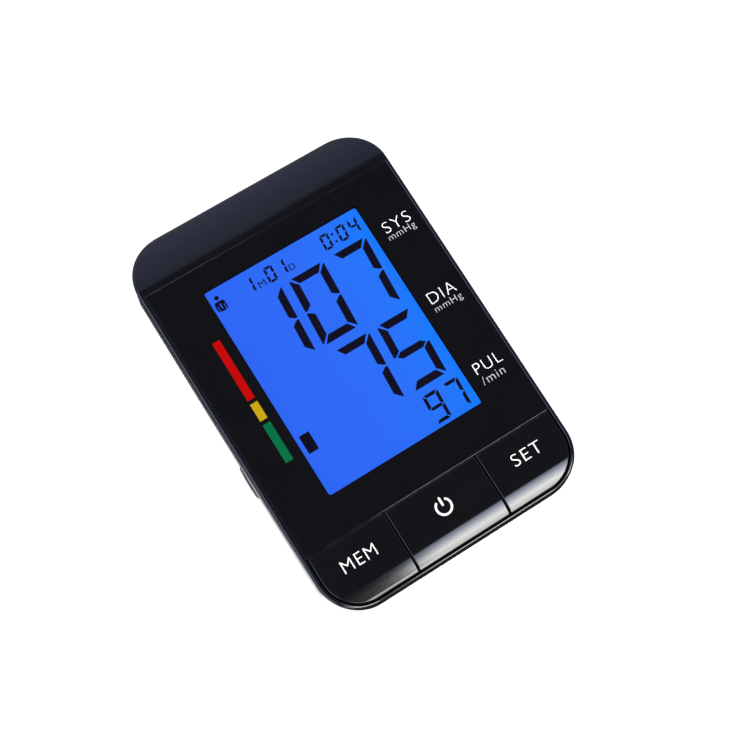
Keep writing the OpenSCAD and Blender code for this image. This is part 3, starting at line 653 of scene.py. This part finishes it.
def upper_posts(radius, over):
    """Screw posts of the upper half; they stand square to the table."""
    shapes = []
    for x, y in POSTS:
        split = split_height(y)
        ceiling = (UPPER_DEPTH + (SHELF_Z if y < 0 else -5)) / math.cos(TILT)
        post = made(prism, disc(radius, x, y), split + 0.8 - over, split + ceiling + 0.6 - 2 * over)
        post.transform(FACE.inverted())
        shapes.append(post)
    return shapes


def upper_shell():
    adds = upper_fittings() + upper_posts(POST_R, 0)
    bm = combine(upper_walls(), adds, upper_cuts() + upper_posts(PILOT_R, 1))
    even_shading(piece("upper_shell", bm, "case", BLACK, stands_for="upper_housing"))


# ---------- display ----------

def lens_plate():
    bm = bmesh.new()
    half = CASE_W / 2 - RIM - 0.1
    v0 = LENS_FRONT + 0.1
    v1 = LENS_REAR - 0.1

    def outline(inset):
        return plan(-half, half, v0, v1, [0.5] * 4, inset)

    side, end = WINDOW_W / 2, WINDOW_L / 2
    window = plan(-side, side, WINDOW_UP - end, WINDOW_UP + end, [1.0] * 4)
    edge = quarter(LENS_EDGE, 4)
    profile = [(inset, -LENS_T - level) for inset, level in reversed(edge)] + edge
    rings = [ring(bm, outline(inset), level) for inset, level in profile]
    low = ring(bm, window, -LENS_T)
    high = ring(bm, window, 0)
    for a, b in zip([low] + rings, rings + [high]):
        skin(bm, a, b)
    for opening in (low, high):
        bm.faces.new(opening).material_index = 1
    lens = piece("lens", bm, "case", LENS_BLACK, stands_for="display_lens")
    lens.data.materials.append(CLEAR)
    even_shading(lens)


def slanted(points, x, y):
    """Points of a mark placed on the display, leaning right as they rise."""
    return [(x + px + py * SLANT, y + py + WINDOW_UP) for px, py in points]


def digit_bars(w, h, t):
    """The seven bars of a digit: a top, b upper right, c lower right, d bottom, e lower left,
    f upper left, g middle."""
    m = h / 2
    cut = min(0.7, t * 0.3)
    g = min(0.35, t * 0.14)
    tip = t / 2
    top = [(cut + g, h), (w - cut - g, h), (w - t - g, h - t), (t + g, h - t)]
    upper_right = [(w, m + g), (w, h - cut), (w - cut * 0.3, h - cut * 0.7), (w - t, h - t - g),
                   (w - t, m + tip + g), (w - tip * 0.6, m + g)]
    upper_left = [(w - px, py) for px, py in upper_right]
    rise = tip - g * 0.3
    left, right = t + g * 0.6, w - t - g * 0.6
    middle = [(tip * 0.6 + g, m), (left, m + rise), (right, m + rise), (w - tip * 0.6 - g, m),
              (right, m - rise), (left, m - rise)]
    return {
        "a": top, "b": upper_right, "f": upper_left, "g": middle,
        "c": [(px, h - py) for px, py in upper_right],
        "e": [(px, h - py) for px, py in upper_left],
        "d": [(px, h - py) for px, py in top],
    }


DIGITS = {"0": "abcdef", "1": "bc", "4": "bcfg", "5": "acdfg", "7": "abc", "9": "abcdfg"}


def digit(bm, number, x, y, size, z0, z1):
    w, h, t = size
    for name, points in digit_bars(w, h, t).items():
        if name in DIGITS[number]:
            prism(bm, slanted(points, x, y), z0, z1)


def lcd_marks():
    z0 = LCD_TOP
    z1 = LCD_TOP + PRINT_T
    big = (13.75, 25.6, 2.75)
    middle = (5.95, 10.7, 1.2)
    small = (3.3, 5.8, 0.85)
    dark = bmesh.new()
    for number, x, y in (("1", -21.4, 4.3), ("0", -4.5, 4.3), ("7", 12.5, 4.3), ("7", -4.4, -24.8),
                         ("5", 12.5, -24.8)):
        digit(dark, number, x, y, big, z0, z1)
    for number, x in (("9", 13.5), ("7", 21.5)):
        digit(dark, number, x, -38.34, middle, z0, z1)
    piece("lcd_digits", dark, "case", SEGMENT)
    light = bmesh.new()
    for number, x in (("0", 13.7), ("0", 20.0), ("4", 24.8)):
        digit(light, number, x, 32.2, small, z0, z1)
    for y in (33.5, 36.4):
        prism(light, slanted(plan(-0.4, 0.4, -0.4, 0.4, [0.15] * 4), 18.6, y), z0, z1)
    for number, x, w in (("1", -16.9, 3.3), ("0", -8.6, 3.3), ("1", -4.3, 3.3)):
        digit(light, number, x, 32.2, (w, 5.8, 0.85), z0, z1)
    piece("lcd_clock", light, "case", SEGMENT)
    lcd_word("lcd_month", "M", -12.2, 32.5, 2.6, 2.3)
    lcd_word("lcd_day", "D", -0.2, 32.5, 2.1, 2.3)
    user_mark(z0, z1)


def lcd_word(name, text, x, y, width, height):
    lettering(name, text, (x, x + width, y + WINDOW_UP, y + WINDOW_UP + height), LCD_TOP, SEGMENT)


def user_mark(z0, z1):
    """User number in a rounded figure, and the block below it."""
    bm = bmesh.new()
    prism(bm, [(x - 26.7, v + 37.2 + WINDOW_UP) for x, v in disc(0.8, steps=20)], z0, z1)
    body = plan(-28.6, -24.8, 32.2, 35.9, [0.8, 0.8, 1.0, 1.0])
    prism(bm, [(x, v + WINDOW_UP) for x, v in body], z0, z1)
    low_block = plan(-28.0, -24.2, -24.4, -17.6, [0.3] * 4)
    prism(bm, [(x, v + WINDOW_UP) for x, v in low_block], z0, z1)
    piece("lcd_user_mark", bm, "case", SEGMENT)
    bm = bmesh.new()
    for x, v0, v1, half in ((-27.9, 32.3, 34.4, 0.12), (-26.7, 33.0, 35.0, 0.2), (-25.5, 32.3, 34.4, 0.12)):
        prism(bm, plan(x - half, x + half, v0 + WINDOW_UP, v1 + WINDOW_UP, [0.05] * 4), z1, z1 + PRINT_T)
    piece("lcd_user_number", bm, "case", BLUE)


# ---------- printing ----------

def lettering(name, text, place, level, material, body="case", weight=0.0):
    """Printed word that fills the box place = (x0, x1, v0, v1) at a level of the face frame."""
    x0, x1, v0, v1 = place
    curve = bpy.data.curves.new(name + "_curve", "FONT")
    curve.body = text
    curve.extrude = 0.5
    curve.offset = weight
    curve.resolution_u = 6
    curve.space_character = 1.12
    word = bpy.data.objects.new(name + "_word", curve)
    bpy.context.scene.collection.objects.link(word)
    bpy.context.view_layer.update()
    bm = bmesh.new()
    bm.from_mesh(word.evaluated_get(bpy.context.evaluated_depsgraph_get()).to_mesh())
    bpy.data.objects.remove(word)
    xs = [v.co.x for v in bm.verts]
    ys = [v.co.y for v in bm.verts]
    for v in bm.verts:
        v.co.x = x0 + (v.co.x - min(xs)) / (max(xs) - min(xs)) * (x1 - x0)
        v.co.y = v0 + (v.co.y - min(ys)) / (max(ys) - min(ys)) * (v1 - v0)
        v.co.z = level + (PRINT_T if v.co.z > 0 else 0.0)
    return piece(name, bm, body, material)


def result_labels():
    """Name of each result and its unit, right of the display."""
    rows = (("SYS", 33.8, 44.0, 32.2, 36.2, "mmHg", 33.6, 44.1, 28.64, 31.73),
            ("DIA", 33.6, 43.8, 3.25, 7.23, "mmHg", 33.5, 44.1, -0.74, 2.35),
            ("PUL", 33.5, 43.8, -25.3, -21.34, "/min", 33.6, 42.27, -29.4, -26.4))
    for word, x0, x1, v0, v1, unit, ux0, ux1, uv0, uv1 in rows:
        lettering("label_" + word.lower(), word, (x0, x1, v0, v1), 0, WHITE_INK, weight=-0.019)
        lettering("unit_" + word.lower(), unit, (ux0, ux1, uv0, uv1), 0, GREY_INK, weight=-0.01)


def range_bars():
    """Colour scale beside the display."""
    for name, v0, v1, material in (("red", 6.93, 29.7, RED_INK), ("yellow", -1.03, 5.54, YELLOW_INK),
                                   ("green", -17.16, -2.52, GREEN_INK)):
        bm = bmesh.new()
        prism(bm, plan(-36.49, -33.7, v0, v1, [0.12] * 4), 0, PRINT_T)
        piece("range_bar_" + name, bm, "case", material)


def power_icon():
    """Broken ring with a bar in its gap."""
    bm = bmesh.new()
    cx, cv, r_out, r_in = -0.1, -56.29, 3.05, 2.3
    steps = 40
    turn = [math.radians(90 + 35 + 290 * i / steps) for i in range(steps + 1)]
    outer = [(cx + r_out * math.cos(a), cv + r_out * math.sin(a)) for a in turn]
    inner = [(cx + r_in * math.cos(a), cv + r_in * math.sin(a)) for a in reversed(turn)]
    rings = [ring(bm, outer + inner, z) for z in (0, PRINT_T)]
    skin(bm, *rings)
    n = len(outer)
    for row in rings:
        for i in range(n - 1):
            bm.faces.new((row[i], row[i + 1], row[2 * n - 2 - i], row[2 * n - 1 - i]))
    prism(bm, plan(cx - 0.4, cx + 0.4, cv + 0.3, cv + 3.5, [0.38] * 4), 0, PRINT_T)
    piece("power_icon", bm, "power_key", WHITE_INK)


# ---------- keys, in the face frame ----------

def key_block(x0, x1, radii):
    bm = bmesh.new()
    profile = [(0, KEY_SKIRT)] + quarter(KEY_EDGE, 4)
    solid(bm, lambda inset: plan(x0, x1, KEY_FRONT, KEY_REAR, radii, inset, ARC_STEPS), profile)
    return bm


def key_hollow(x0, x1, radii):
    """Space inside a key: open underneath, and open at the back below the top plate."""
    inner = plan(x0 + KEY_WALL, x1 - KEY_WALL, KEY_FRONT + KEY_WALL, KEY_REAR + 1, radii)
    behind = made(solid_box, (x0 - 1, PIVOT_V - 4, KEY_SKIRT - 1), (x1 + 1, KEY_REAR + 2, -KEY_TOP_T))
    return [made(prism, inner, KEY_SKIRT - 1, -KEY_TOP_T), behind]


def key_fittings(brackets, stem_x):
    """Two ears with pivot pins, and the stem that presses the switch."""
    shapes = [made(prism, disc(1.6, stem_x, PIVOT_V - 10), STEM_END, -1.2)]
    for x, side in zip(brackets, (-1, 1)):
        inner, outer = sorted((x + side * 1.45, x + side * 3.45))
        start, end = sorted((x + side * 3.0, x - side * 0.8))
        shapes.append(made(solid_box, (inner, PIVOT_V - 2, PIVOT_W - 1.6), (outer, PIVOT_V + 2, -1.2)))
        shapes.append(made(round_bar, PIN_R, start, end, PIVOT_V, PIVOT_W))
    return shapes


def key_cap(body, x0, x1, radii, brackets, stem_x):
    inner_radii = [max(r - KEY_WALL, 0.2) for r in radii]
    bm = combine(key_block(x0, x1, radii), cuts=key_hollow(x0, x1, inner_radii))
    drape(bm)
    bm = combine(bm, key_fittings(brackets, stem_x))
    even_shading(piece(body + "_cap", bm, body, BLACK, stands_for=body))


def keys():
    outer = CASE_W / 2 - KEY_INSET
    big = CORNER_R - KEY_INSET
    key_cap("mem_key", -outer, -SIDE_KEY_IN, [big, 0.5, 0.5, 0.5], [-40.6, -24.4], -32.5)
    key_cap("power_key", -POWER_HALF, POWER_HALF, [0.5] * 4, [-11.5, 11.5], 0)
    key_cap("set_key", SIDE_KEY_IN, outer, [0.5, big, 0.5, 0.5], [24.4, 40.6], 32.5)
    lettering("legend_mem", "MEM", (-38.98, -26.43, -57.98, -53.8), 0, WHITE_INK, "mem_key", -0.014)
    lettering("legend_set", "SET", (27.33, 38.48, -57.98, -53.8), 0, WHITE_INK, "set_key", -0.014)
    power_icon()


# ---------- lower half of the case, in the row frame ----------

def split_ring(inset, below=0.0):
    """Case outline on the parting plane, in the row frame."""
    return [FACE @ Vector((x, v, -UPPER_DEPTH - below)) for x, v in case_outline(inset)]


def lower_walls():
    """Hollow tub from the split outline down to the smaller base, with a rounded base edge."""
    bm = bmesh.new()
    rings = [split_ring(PARTING_CHAMFER), split_ring(0, PARTING_CHAMFER)]
    base = [Vector((x, y, FOOT_H)) for x, y in base_outline(0)]
    flat = [Vector((x, y, FOOT_H)) for x, y in base_outline(BASE_FILLET * 0.85)]
    side = [b + (t - b).normalized() * BASE_FILLET for b, t in zip(base, rings[1])]
    for i in range(BASE_STEPS + 1):
        t = i / BASE_STEPS
        rings.append([s * (1 - t) ** 2 + b * 2 * t * (1 - t) + f * t * t
                      for s, b, f in zip(side, base, flat)])
    inside = [Vector((x, y, FLOOR_Z)) for x, y in base_outline(WALL)]
    loops = [[bm.verts.new(p) for p in points] for points in [inside, split_ring(WALL)] + rings]
    for a, b in zip(loops, loops[1:]):
        skin(bm, a, b)
    bm.faces.new(loops[0])
    bm.faces.new(loops[-1])
    return bm


def bay_box(grow, z0, z1):
    low = (BAY_X[0] - grow, BAY_Y[0] - grow, z0)
    return made(solid_box, low, (BAY_X[1] + grow, BAY_Y[1] + grow, z1))


def lower_fittings():
    """Battery bay, door lip, latch pocket, pump cradle, screw posts and the pads of the two ports."""
    reach = LATCH_HALF + 1.9
    shapes = [bay_box(BAY_WALL, FLOOR_Z - 0.5, BAY_TOP + BAY_WALL),
              bay_box(DOOR_LIP + BAY_WALL, FLOOR_Z - 0.6, FLOOR_Z + 2.4),
              made(solid_box, (BAY_MID_X - reach, DOOR_FRONT - 2.6, FLOOR_Z - 0.7),
                   (BAY_MID_X + reach, BAY_Y[0], NOSE_Z + 3.8))]
    for y in (PUMP_Y + 9, PUMP_Y + 27):
        low = (PUMP_X - PUMP_R + 1, y, FLOOR_Z - 0.3)
        shapes.append(made(solid_box, low, (PUMP_X + PUMP_R, y + 1.5, FLOOR_Z + 3)))
    for x, y in POSTS:
        shapes.append(made(prism, disc(POST_R, x, y), FLOOR_Z - 0.4, split_height(y) + 0.7))
    shapes.append(made(lathe, cylinder(PAD_R, 0, 3.5), along_x(-PAD_X, SOCKET_Y, PORT_Z)))
    shapes.append(made(lathe, cylinder(PAD_R - 0.8, 0, 3), along_x(PAD_X, JACK_Y, PORT_Z, False)))
    return shapes


def split_lip():
    """Low ring inside the parting line that centres the upper half."""
    bm = bmesh.new()
    sections = ((-0.4, -1.6), (0.1, -1.2), (0.1, 1.2), (0.9, 1.2), (0.9, -1.6))
    rings = [[bm.verts.new(p) for p in split_ring(WALL + inset, -level)] for inset, level in sections]
    for a, b in zip(rings, rings[1:] + rings[:1]):
        skin(bm, a, b)
    return bm


def door_cuts():
    """Space for the batteries, the door with its barrel and pins, and the latch. Faces that would lie in
    one plane are set a little APART."""
    low, high = BAY_X[0] - DOOR_LIP, BAY_X[1] + DOOR_LIP
    room = BARREL_R + DOOR_GAP
    half = LATCH_HALF + 0.4
    x0, x1 = BAY_MID_X - half, BAY_MID_X + half
    top = NOSE_Z + 2.6
    boxes = [((low - APART, BAY_Y[1] - 1, -1.1), (high + APART, HINGE_Y + room, HINGE_Z + room)),
             ((x0, BAY_Y[0] - DOOR_LIP - APART, -1.2), (x1, BAY_Y[0] + 1, top)),
             ((x0 + APART, DOOR_FRONT - 1.4, NOSE_Z - 0.15), (x1 - APART, BAY_Y[0] + 1.1, top - APART))]
    shapes = [bay_box(0, -1, BAY_TOP), bay_box(DOOR_LIP, -1, FLOOR_Z + 0.1)]
    shapes += [made(solid_box, a, b) for a, b in boxes]
    shapes.append(made(round_bar, DOOR_PIN_R + PIN_GAP, low - 1.2, high + 1.2, HINGE_Y, HINGE_Z))
    return shapes


def round_cuts():
    """Screw bores, foot pockets, the holes for the two ports and the hollow for the pump."""
    shapes = []
    seat = FOOT_H + 2.6
    bore = [(0, -1), (2.8, -1), (2.8, seat), (1.3, seat), (1.3, 60), (0, 60)]
    for outline, places in ((bore, POSTS), (cylinder(FOOT_R + 0.1, -1, 2.2), FEET)):
        for x, y in places:
            shapes.append(made(lathe, outline, Matrix.Translation((x, y, 0))))
    socket = [(0, -5), (6.3, -5), (6.3, 0), (5.15, 0), (5.15, 8), (0, 8)]
    shapes.append(made(lathe, socket, along_x(-PAD_X, SOCKET_Y, PORT_Z)))
    shapes.append(made(lathe, cylinder(4.1, -5, 8), along_x(PAD_X, JACK_Y, PORT_Z, False)))
    pump = Matrix.Translation((PUMP_X, PUMP_Y, FLOOR_Z + 0.7 + PUMP_R))
    pump = pump @ Matrix.Rotation(-math.pi / 2, 4, "X")
    shapes.append(made(lathe, cylinder(PUMP_R + 0.6, 8, 32), pump))
    return shapes


def lower_shell():
    bm = combine(lower_walls(), lower_fittings() + [split_lip()], door_cuts() + round_cuts())
    even_shading(piece("lower_shell", bm, "case", BASE_BLACK, ROW, "lower_housing"))


# ---------- battery door and latch, in the row frame ----------

def grip_groove(bm, y):
    """Cutter for one finger groove across the door, with sloping sides."""
    z0, z1 = FOOT_H - 0.1, FOOT_H + 0.5
    groove = [(y - 0.1, z0), (y + 0.9, z0), (y + 0.65, z1), (y + 0.15, z1)]
    ends = [[bm.verts.new((BAY_MID_X + x, a, z)) for a, z in groove] for x in (-8, 8)]
    skin(bm, *ends)
    for end in ends:
        bm.faces.new(end)


def door_panel():
    x0 = BAY_X[0] - DOOR_LIP + DOOR_GAP
    x1 = BAY_X[1] + DOOR_LIP - DOOR_GAP
    reach = LATCH_HALF + 0.3
    panel = made(block, (x0, DOOR_FRONT, FOOT_H), (x1, HINGE_Y - 0.07, FOOT_H + DOOR_T), 0.35)
    barrel = made(round_bar, BARREL_R - APART, x0 + 0.3, x1 - 0.3, HINGE_Y, HINGE_Z)
    pins = made(round_bar, DOOR_PIN_R, x0 - 1.2, x1 + 1.2, HINGE_Y, HINGE_Z, math.radians(6))
    low = (BAY_MID_X - reach, DOOR_FRONT - 1, 0)
    notch = made(solid_box, low, (BAY_MID_X + reach, DOOR_FRONT + 3.3, 10))
    grooves = [made(grip_groove, DOOR_FRONT + 6 + 1.6 * i) for i in range(5)]
    bm = combine(panel, [barrel, pins], [notch] + grooves)
    even_shading(piece("battery_door_panel", bm, "battery_door", BASE_BLACK, ROW, "battery_door"))


def latch():
    x0, x1 = BAY_MID_X - LATCH_HALF, BAY_MID_X + LATCH_HALF
    y = DOOR_FRONT
    pad = made(block, (x0, y, FOOT_H), (x1, y + 3, FOOT_H + DOOR_T), 0.3)
    low = (x0 + APART, y + APART, FOOT_H + DOOR_T - 0.6)
    upright = made(block, low, (x1 - APART, y + 1.1, NOSE_Z + 1), 0.15)
    nose = made(block, (x0 + 2, y - 1, NOSE_Z), (x1 - 2, y + 0.4, NOSE_Z + 0.98), 0.2)
    bm = combine(pad, [upright, nose])
    even_shading(piece("door_latch_tongue", bm, "door_latch", BASE_BLACK, ROW, "door_latch"))


# ---------- feet and ports ----------

def feet():
    """Four rubber discs, domed slightly, each with a shallow ring groove."""
    bm = bmesh.new()
    r = FOOT_R
    outline = [(0, 0.06), (1.6, 0.03), (2.2, 0.0), (2.4, 0.25), (2.7, 0.25), (2.9, 0.0), (r - 0.5, 0.0),
               (r - 0.15, 0.15), (r, 0.5), (r, 2.15), (0, 2.15)]
    for x, y in FEET:
        lathe(bm, outline, Matrix.Translation((x, y, 0)))
    piece("foot_pads", bm, "case", RUBBER, ROW, "rubber_feet")


def air_port():
    """Socket for the cuff's hose: flange with a lead-in, a blind bore and the barb for the inner tube."""
    bm = bmesh.new()
    depth = 10.0
    outline = [(0.8, depth), (2.4, depth), (2.4, 0.5), (2.9, 0.0), (5.7, 0.0), (6.2, 0.25), (6.2, 0.5),
               (5.0, 0.5), (5.0, 11.5), (1.5, 11.5), (1.5, 14.8), (0.8, 14.8)]
    lathe(bm, outline, along_x(SOCKET_END, SOCKET_Y, PORT_Z))
    piece("cuff_socket", bm, "case", PORT_GREY, ROW, "air_socket")


def power_port():
    """Round power jack on its square body."""
    low = (JACK_END - 16, JACK_Y - 4.5, PORT_Z - 4.5)
    body = made(block, low, (JACK_END - 4.1, JACK_Y + 4.5, PORT_Z + 4.5))
    place = along_x(JACK_END, JACK_Y, PORT_Z, False)
    barrel = made(lathe, [(0, 0.0), (3.8, 0.0), (4.0, 0.2), (4.0, 4.6), (0, 4.6)], place)
    bore = made(lathe, [(0, -1), (3.25, -1), (2.85, 0.4), (2.85, 11), (0, 11)], place)
    bm = combine(body, [barrel], [bore])
    even_shading(piece("power_jack_body", bm, "case", JACK_BLACK, ROW, "dc_jack"))


def coil(bm, radius, wire, low, high, turns):
    """Round-wire spring about z between two levels."""
    steps, sides = 24 * turns, 10
    rings = []
    for i in range(steps + 1):
        a = 2 * math.pi * turns * i / steps
        level = low + wire + (high - low - 2 * wire) * i / steps
        section = [2 * math.pi * k / sides for k in range(sides)]
        reach = [(radius + wire * math.cos(b), level + wire * math.sin(b)) for b in section]
        rings.append([bm.verts.new((r * math.cos(a), r * math.sin(a), z)) for r, z in reach])
    for a, b in zip(rings, rings[1:]):
        skin(bm, a, b)
    bm.faces.new(rings[0])
    bm.faces.new(rings[-1])


def bleed_spring():
    """Return spring of the bleed valve, which shortens as the plunger comes down on it; here it is wound
    once, at the full length of the CAD spring.
    """
    low, high = [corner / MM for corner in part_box("valve_spring")]
    middle = (low + high) / 2
    bm = made(coil, 1.65, 0.2, low.z, high.z, 2)
    bm.transform(Matrix.Translation((middle.x, middle.y, 0)))
    spring = piece("bleed_valve_spring", bm, "case", SPRING_STEEL, ROW, "valve_spring")
    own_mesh(spring)


# ---------- parts that keep their CAD shape ----------

def inner_parts():
    """Materials of every part inside the case; the CAD shapes stay."""
    steel = surface("steel", (176, 180, 186), 0.28, metal=1.0, cloud=500)
    brass = surface("brass", (196, 160, 84), 0.3, metal=1.0, cloud=500)
    nylon = surface("natural_nylon", (222, 218, 204), 0.45, bump=0.06)
    grey = surface("moulded_grey", (150, 154, 158), 0.42)
    dark = surface("moulded_dark", (36, 38, 42), 0.4)
    chip = surface("chip_black", (24, 24, 27), 0.55, tone=0.2, pits=5000)
    foam = surface("tape_foam", (40, 42, 48), 0.85, pits=4000, bump=0.3)
    silicone = surface("silicone", (222, 220, 214), 0.5, tone=0.06)
    guide = surface("light_guide", (226, 238, 252), 0.15, tone=0.04)
    zebra = surface("contact_rubber", (226, 143, 176), 0.6)
    magnet = surface("ferrite", (62, 60, 60), 0.6, tone=0.25)
    wires = surface("wire_sleeve", (176, 34, 34), 0.4)
    copper = wound("copper_winding", (190, 104, 50), 700, "Y")
    bobbin = wound("coil_winding", (196, 110, 52), 700, "Z")
    looks = {
        steel: ["case_screws", "pcb_screws", "motor_can", "motor_shaft", "motor_bearings", "valve_frame",
                "valve_plunger", "battery_contacts", "dc_jack_pin"],
        SPRING_STEEL: ["battery_springs"],
        brass: ["pump_eccentric"],
        nylon: ["pump_yoke", "pump_valve_plate", "pump_crankcase", "motor_end_cap", "wire_connectors",
                "tube_tee"],
        grey: ["lcd_holder", "pump_cover", "pressure_sensor", "valve_nozzle", "capacitors"],
        dark: ["switch_bodies", "buzzer"],
        chip: ["processor_chip"],
        foam: ["lens_tape", "pump_sleeve"],
        silicone: ["air_tubes", "pump_diaphragm", "mem_switch_plunger", "power_switch_plunger",
                   "set_switch_plunger", "backlight_leds"],
        guide: ["light_guide"],
        zebra: ["contact_strip"],
        magnet: ["motor_magnets"],
        wires: ["lead_wires"],
        copper: ["motor_armature"],
        bobbin: ["valve_coil"],
        board_green(): ["main_pcb"],
        cell_jacket(): ["aa_cells"],
        BLUE: ["lcd_panel"],
    }
    for material, names in looks.items():
        for name in names:
            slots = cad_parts[name].data.materials
            slots.clear()
            slots.append(material)


# ---------- floor, light and camera ----------

def dark_card(tree, shader):
    """The floor in front and left of the case looks dark in reflections only, as if cards lay there."""
    place = split_vector(tree, add(tree, "NewGeometry").outputs["Position"])
    in_front = soft_step(tree, place["Y"], -CARD_FRONT * MM, -(CARD_FRONT + 1.3) * MM)
    at_left = soft_step(tree, place["X"], -CARD_LEFT * MM, -(CARD_LEFT + 0.8) * MM)
    covered = calculate(tree, "MAXIMUM", in_front, at_left)
    mirrored = add(tree, "LightPath").outputs["Is Glossy Ray"]
    card = add(tree, "Emission", {"Strength": CARD_LIGHT})
    share = calculate(tree, "MULTIPLY", covered, mirrored)
    return mixed_shader(tree, share, shader, card.outputs["Emission"])


def floor():
    """Pale floor, see-through from underneath so that the base can be looked at."""
    bm = bmesh.new()
    bm.faces.new(ring(bm, plan(-1500, 1500, -1500, 1500, [50] * 4), 0))
    pale = surface("pale_floor", (244, 244, 245), 0.9, tone=0.01, cloud=3, pits=200, bump=0.01)
    tree = pale.node_tree
    bsdf = tree.nodes["Principled BSDF"]
    feed(tree, bsdf, {"Emission Color": (1, 1, 1, 1), "Emission Strength": FLOOR_GLOW})
    see_through = add(tree, "BsdfTransparent").outputs["BSDF"]
    below = add(tree, "NewGeometry").outputs["Backfacing"]
    mix = mixed_shader(tree, below, dark_card(tree, bsdf.outputs["BSDF"]), see_through)
    feed(tree, tree.nodes["Material Output"], {"Surface": mix})
    obj = link("floor", bm, ROW)
    obj.data.materials.append(pale)


def soft_step(tree, value, low, high):
    """0 below low, 1 above high, smooth between; low may be the larger."""
    values = {"Value": value, "From Min": low, "From Max": high}
    return add(tree, "MapRange", values, interpolation_type="SMOOTHSTEP").outputs["Result"]


def light_patch(tree, alpha, side, turns, sides, soft_turn, soft_side):
    """Patch of the studio between two turns about the x axis and between two sideways directions."""
    total = soft_step(tree, alpha, turns[0] - soft_turn, turns[0] + soft_turn)
    for value, low, high in ((alpha, turns[1] + soft_turn, turns[1] - soft_turn),
                             (side, sides[0] - soft_side, sides[0] + soft_side),
                             (side, sides[1] + soft_side, sides[1] - soft_side)):
        total = calculate(tree, "MULTIPLY", total, soft_step(tree, value, low, high))
    return total


def studio_light(tree, alpha, direction):
    """Light that comes from a direction, alpha degrees round the x axis: a softbox in front on the right, a
    low strip in front on the left, an upright strip at the far left, and darkness over the glossy face."""
    side = split_vector(tree, direction)["X"]
    noise = add(tree, "TexNoise", {"Vector": direction, "Scale": 30})
    ragged = spread(tree, noise.outputs["Fac"], -0.012, 0.012, 0.35, 0.65)
    torn_side = calculate(tree, "ADD", side, ragged)
    softbox = light_patch(tree, alpha, torn_side, (-76, -9), (0.134, 0.40), 1.5, 0.002)
    strong = calculate(tree, "MULTIPLY", spread(tree, alpha, 19.0, 3.0, -48, -9),
                       spread(tree, alpha, 0.5, 1.0, -76, -48))
    low = light_patch(tree, alpha, side, (-76, -64), (-0.5, 0.14), 1.0, 0.03)
    left = light_patch(tree, alpha, side, (-60, 40), (-0.93, -0.66), 8.0, 0.03)
    dark = light_patch(tree, alpha, side, (-78, 21), (-0.62, 0.62), 1.0, 0.05)
    rear = spread(tree, alpha, 0.45, 1.0, 20, 60)
    total = calculate(tree, "MULTIPLY", spread(tree, dark, 1.0, 0.1), rear)
    for patch, strength in ((softbox, strong), (low, 9.0), (left, 4.5)):
        total = calculate(tree, "ADD", total, calculate(tree, "MULTIPLY", patch, strength))
    return total


def studio():
    """Studio seen by light and reflections, which tint it by height. The camera sees plain white."""
    world = bpy.data.worlds.new("studio")
    world.use_nodes = True
    bpy.context.scene.world = world
    tree = world.node_tree
    around = add(tree, "TexCoord").outputs["Generated"]
    direction = add(tree, "Mapping", {"Vector": around, "Rotation": (-TILT, 0, 0)}).outputs["Vector"]
    parts = split_vector(tree, direction)
    turn = calculate(tree, "ARCTAN2", parts["Y"], parts["Z"])
    alpha = calculate(tree, "MULTIPLY", turn, 180 / math.pi)
    white = (1, 1, 1, 1)
    tints = ((0, (1, 0.985, 0.96, 1)), (0.25, (0.8, 0.9, 1.1, 1)), (0.5, (0.62, 0.74, 1.3, 1)),
             (0.75, (0.66, 0.72, 1.15, 1)), (1, white))
    tint = colour_ramp(tree, spread(tree, alpha, 0.0, 1.0, -50, 90), tints)
    path = add(tree, "LightPath").outputs
    light = studio_light(tree, alpha, direction)
    strength = add(tree, "Mix", {0: path["Is Camera Ray"], 2: light, 3: 1.0})
    feed(tree, tree.nodes["Background"], {"Color": two_tone(tree, path["Is Glossy Ray"], white, tint),
                                          "Strength": strength.outputs[0]})


def camera():
    """Long lens above the front left of the face, turned so that the case stands askew in the frame."""
    data = bpy.data.cameras.new("camera")
    data.lens = 67.92
    data.sensor_width = 36
    obj = bpy.data.objects.new("camera", data)
    bpy.context.scene.collection.objects.link(obj)
    right = Vector((0.84330, -0.53240, 0.07342))
    up = Vector((0.50705, 0.83344, 0.21969))
    place = Matrix.Identity(4)
    for column, axis in enumerate((right, up, right.cross(up))):
        for row in range(3):
            place[row][column] = axis[row]
    to_row = FACE @ Matrix.Translation((-79.65, -76.93, 457.52)) @ place
    obj.matrix_world = Matrix.Translation(to_row.to_translation() * MM) @ to_row.to_3x3().to_4x4()
    bpy.context.scene.camera = obj


def main():
    for build in (upper_shell, lower_shell, lens_plate, keys, lcd_marks, result_labels, range_bars,
                  door_panel, latch, feet, air_port, power_port, bleed_spring, inner_parts, floor,
                  studio, camera):
        build()
    bpy.context.scene.view_settings.view_transform = "Standard"


main()
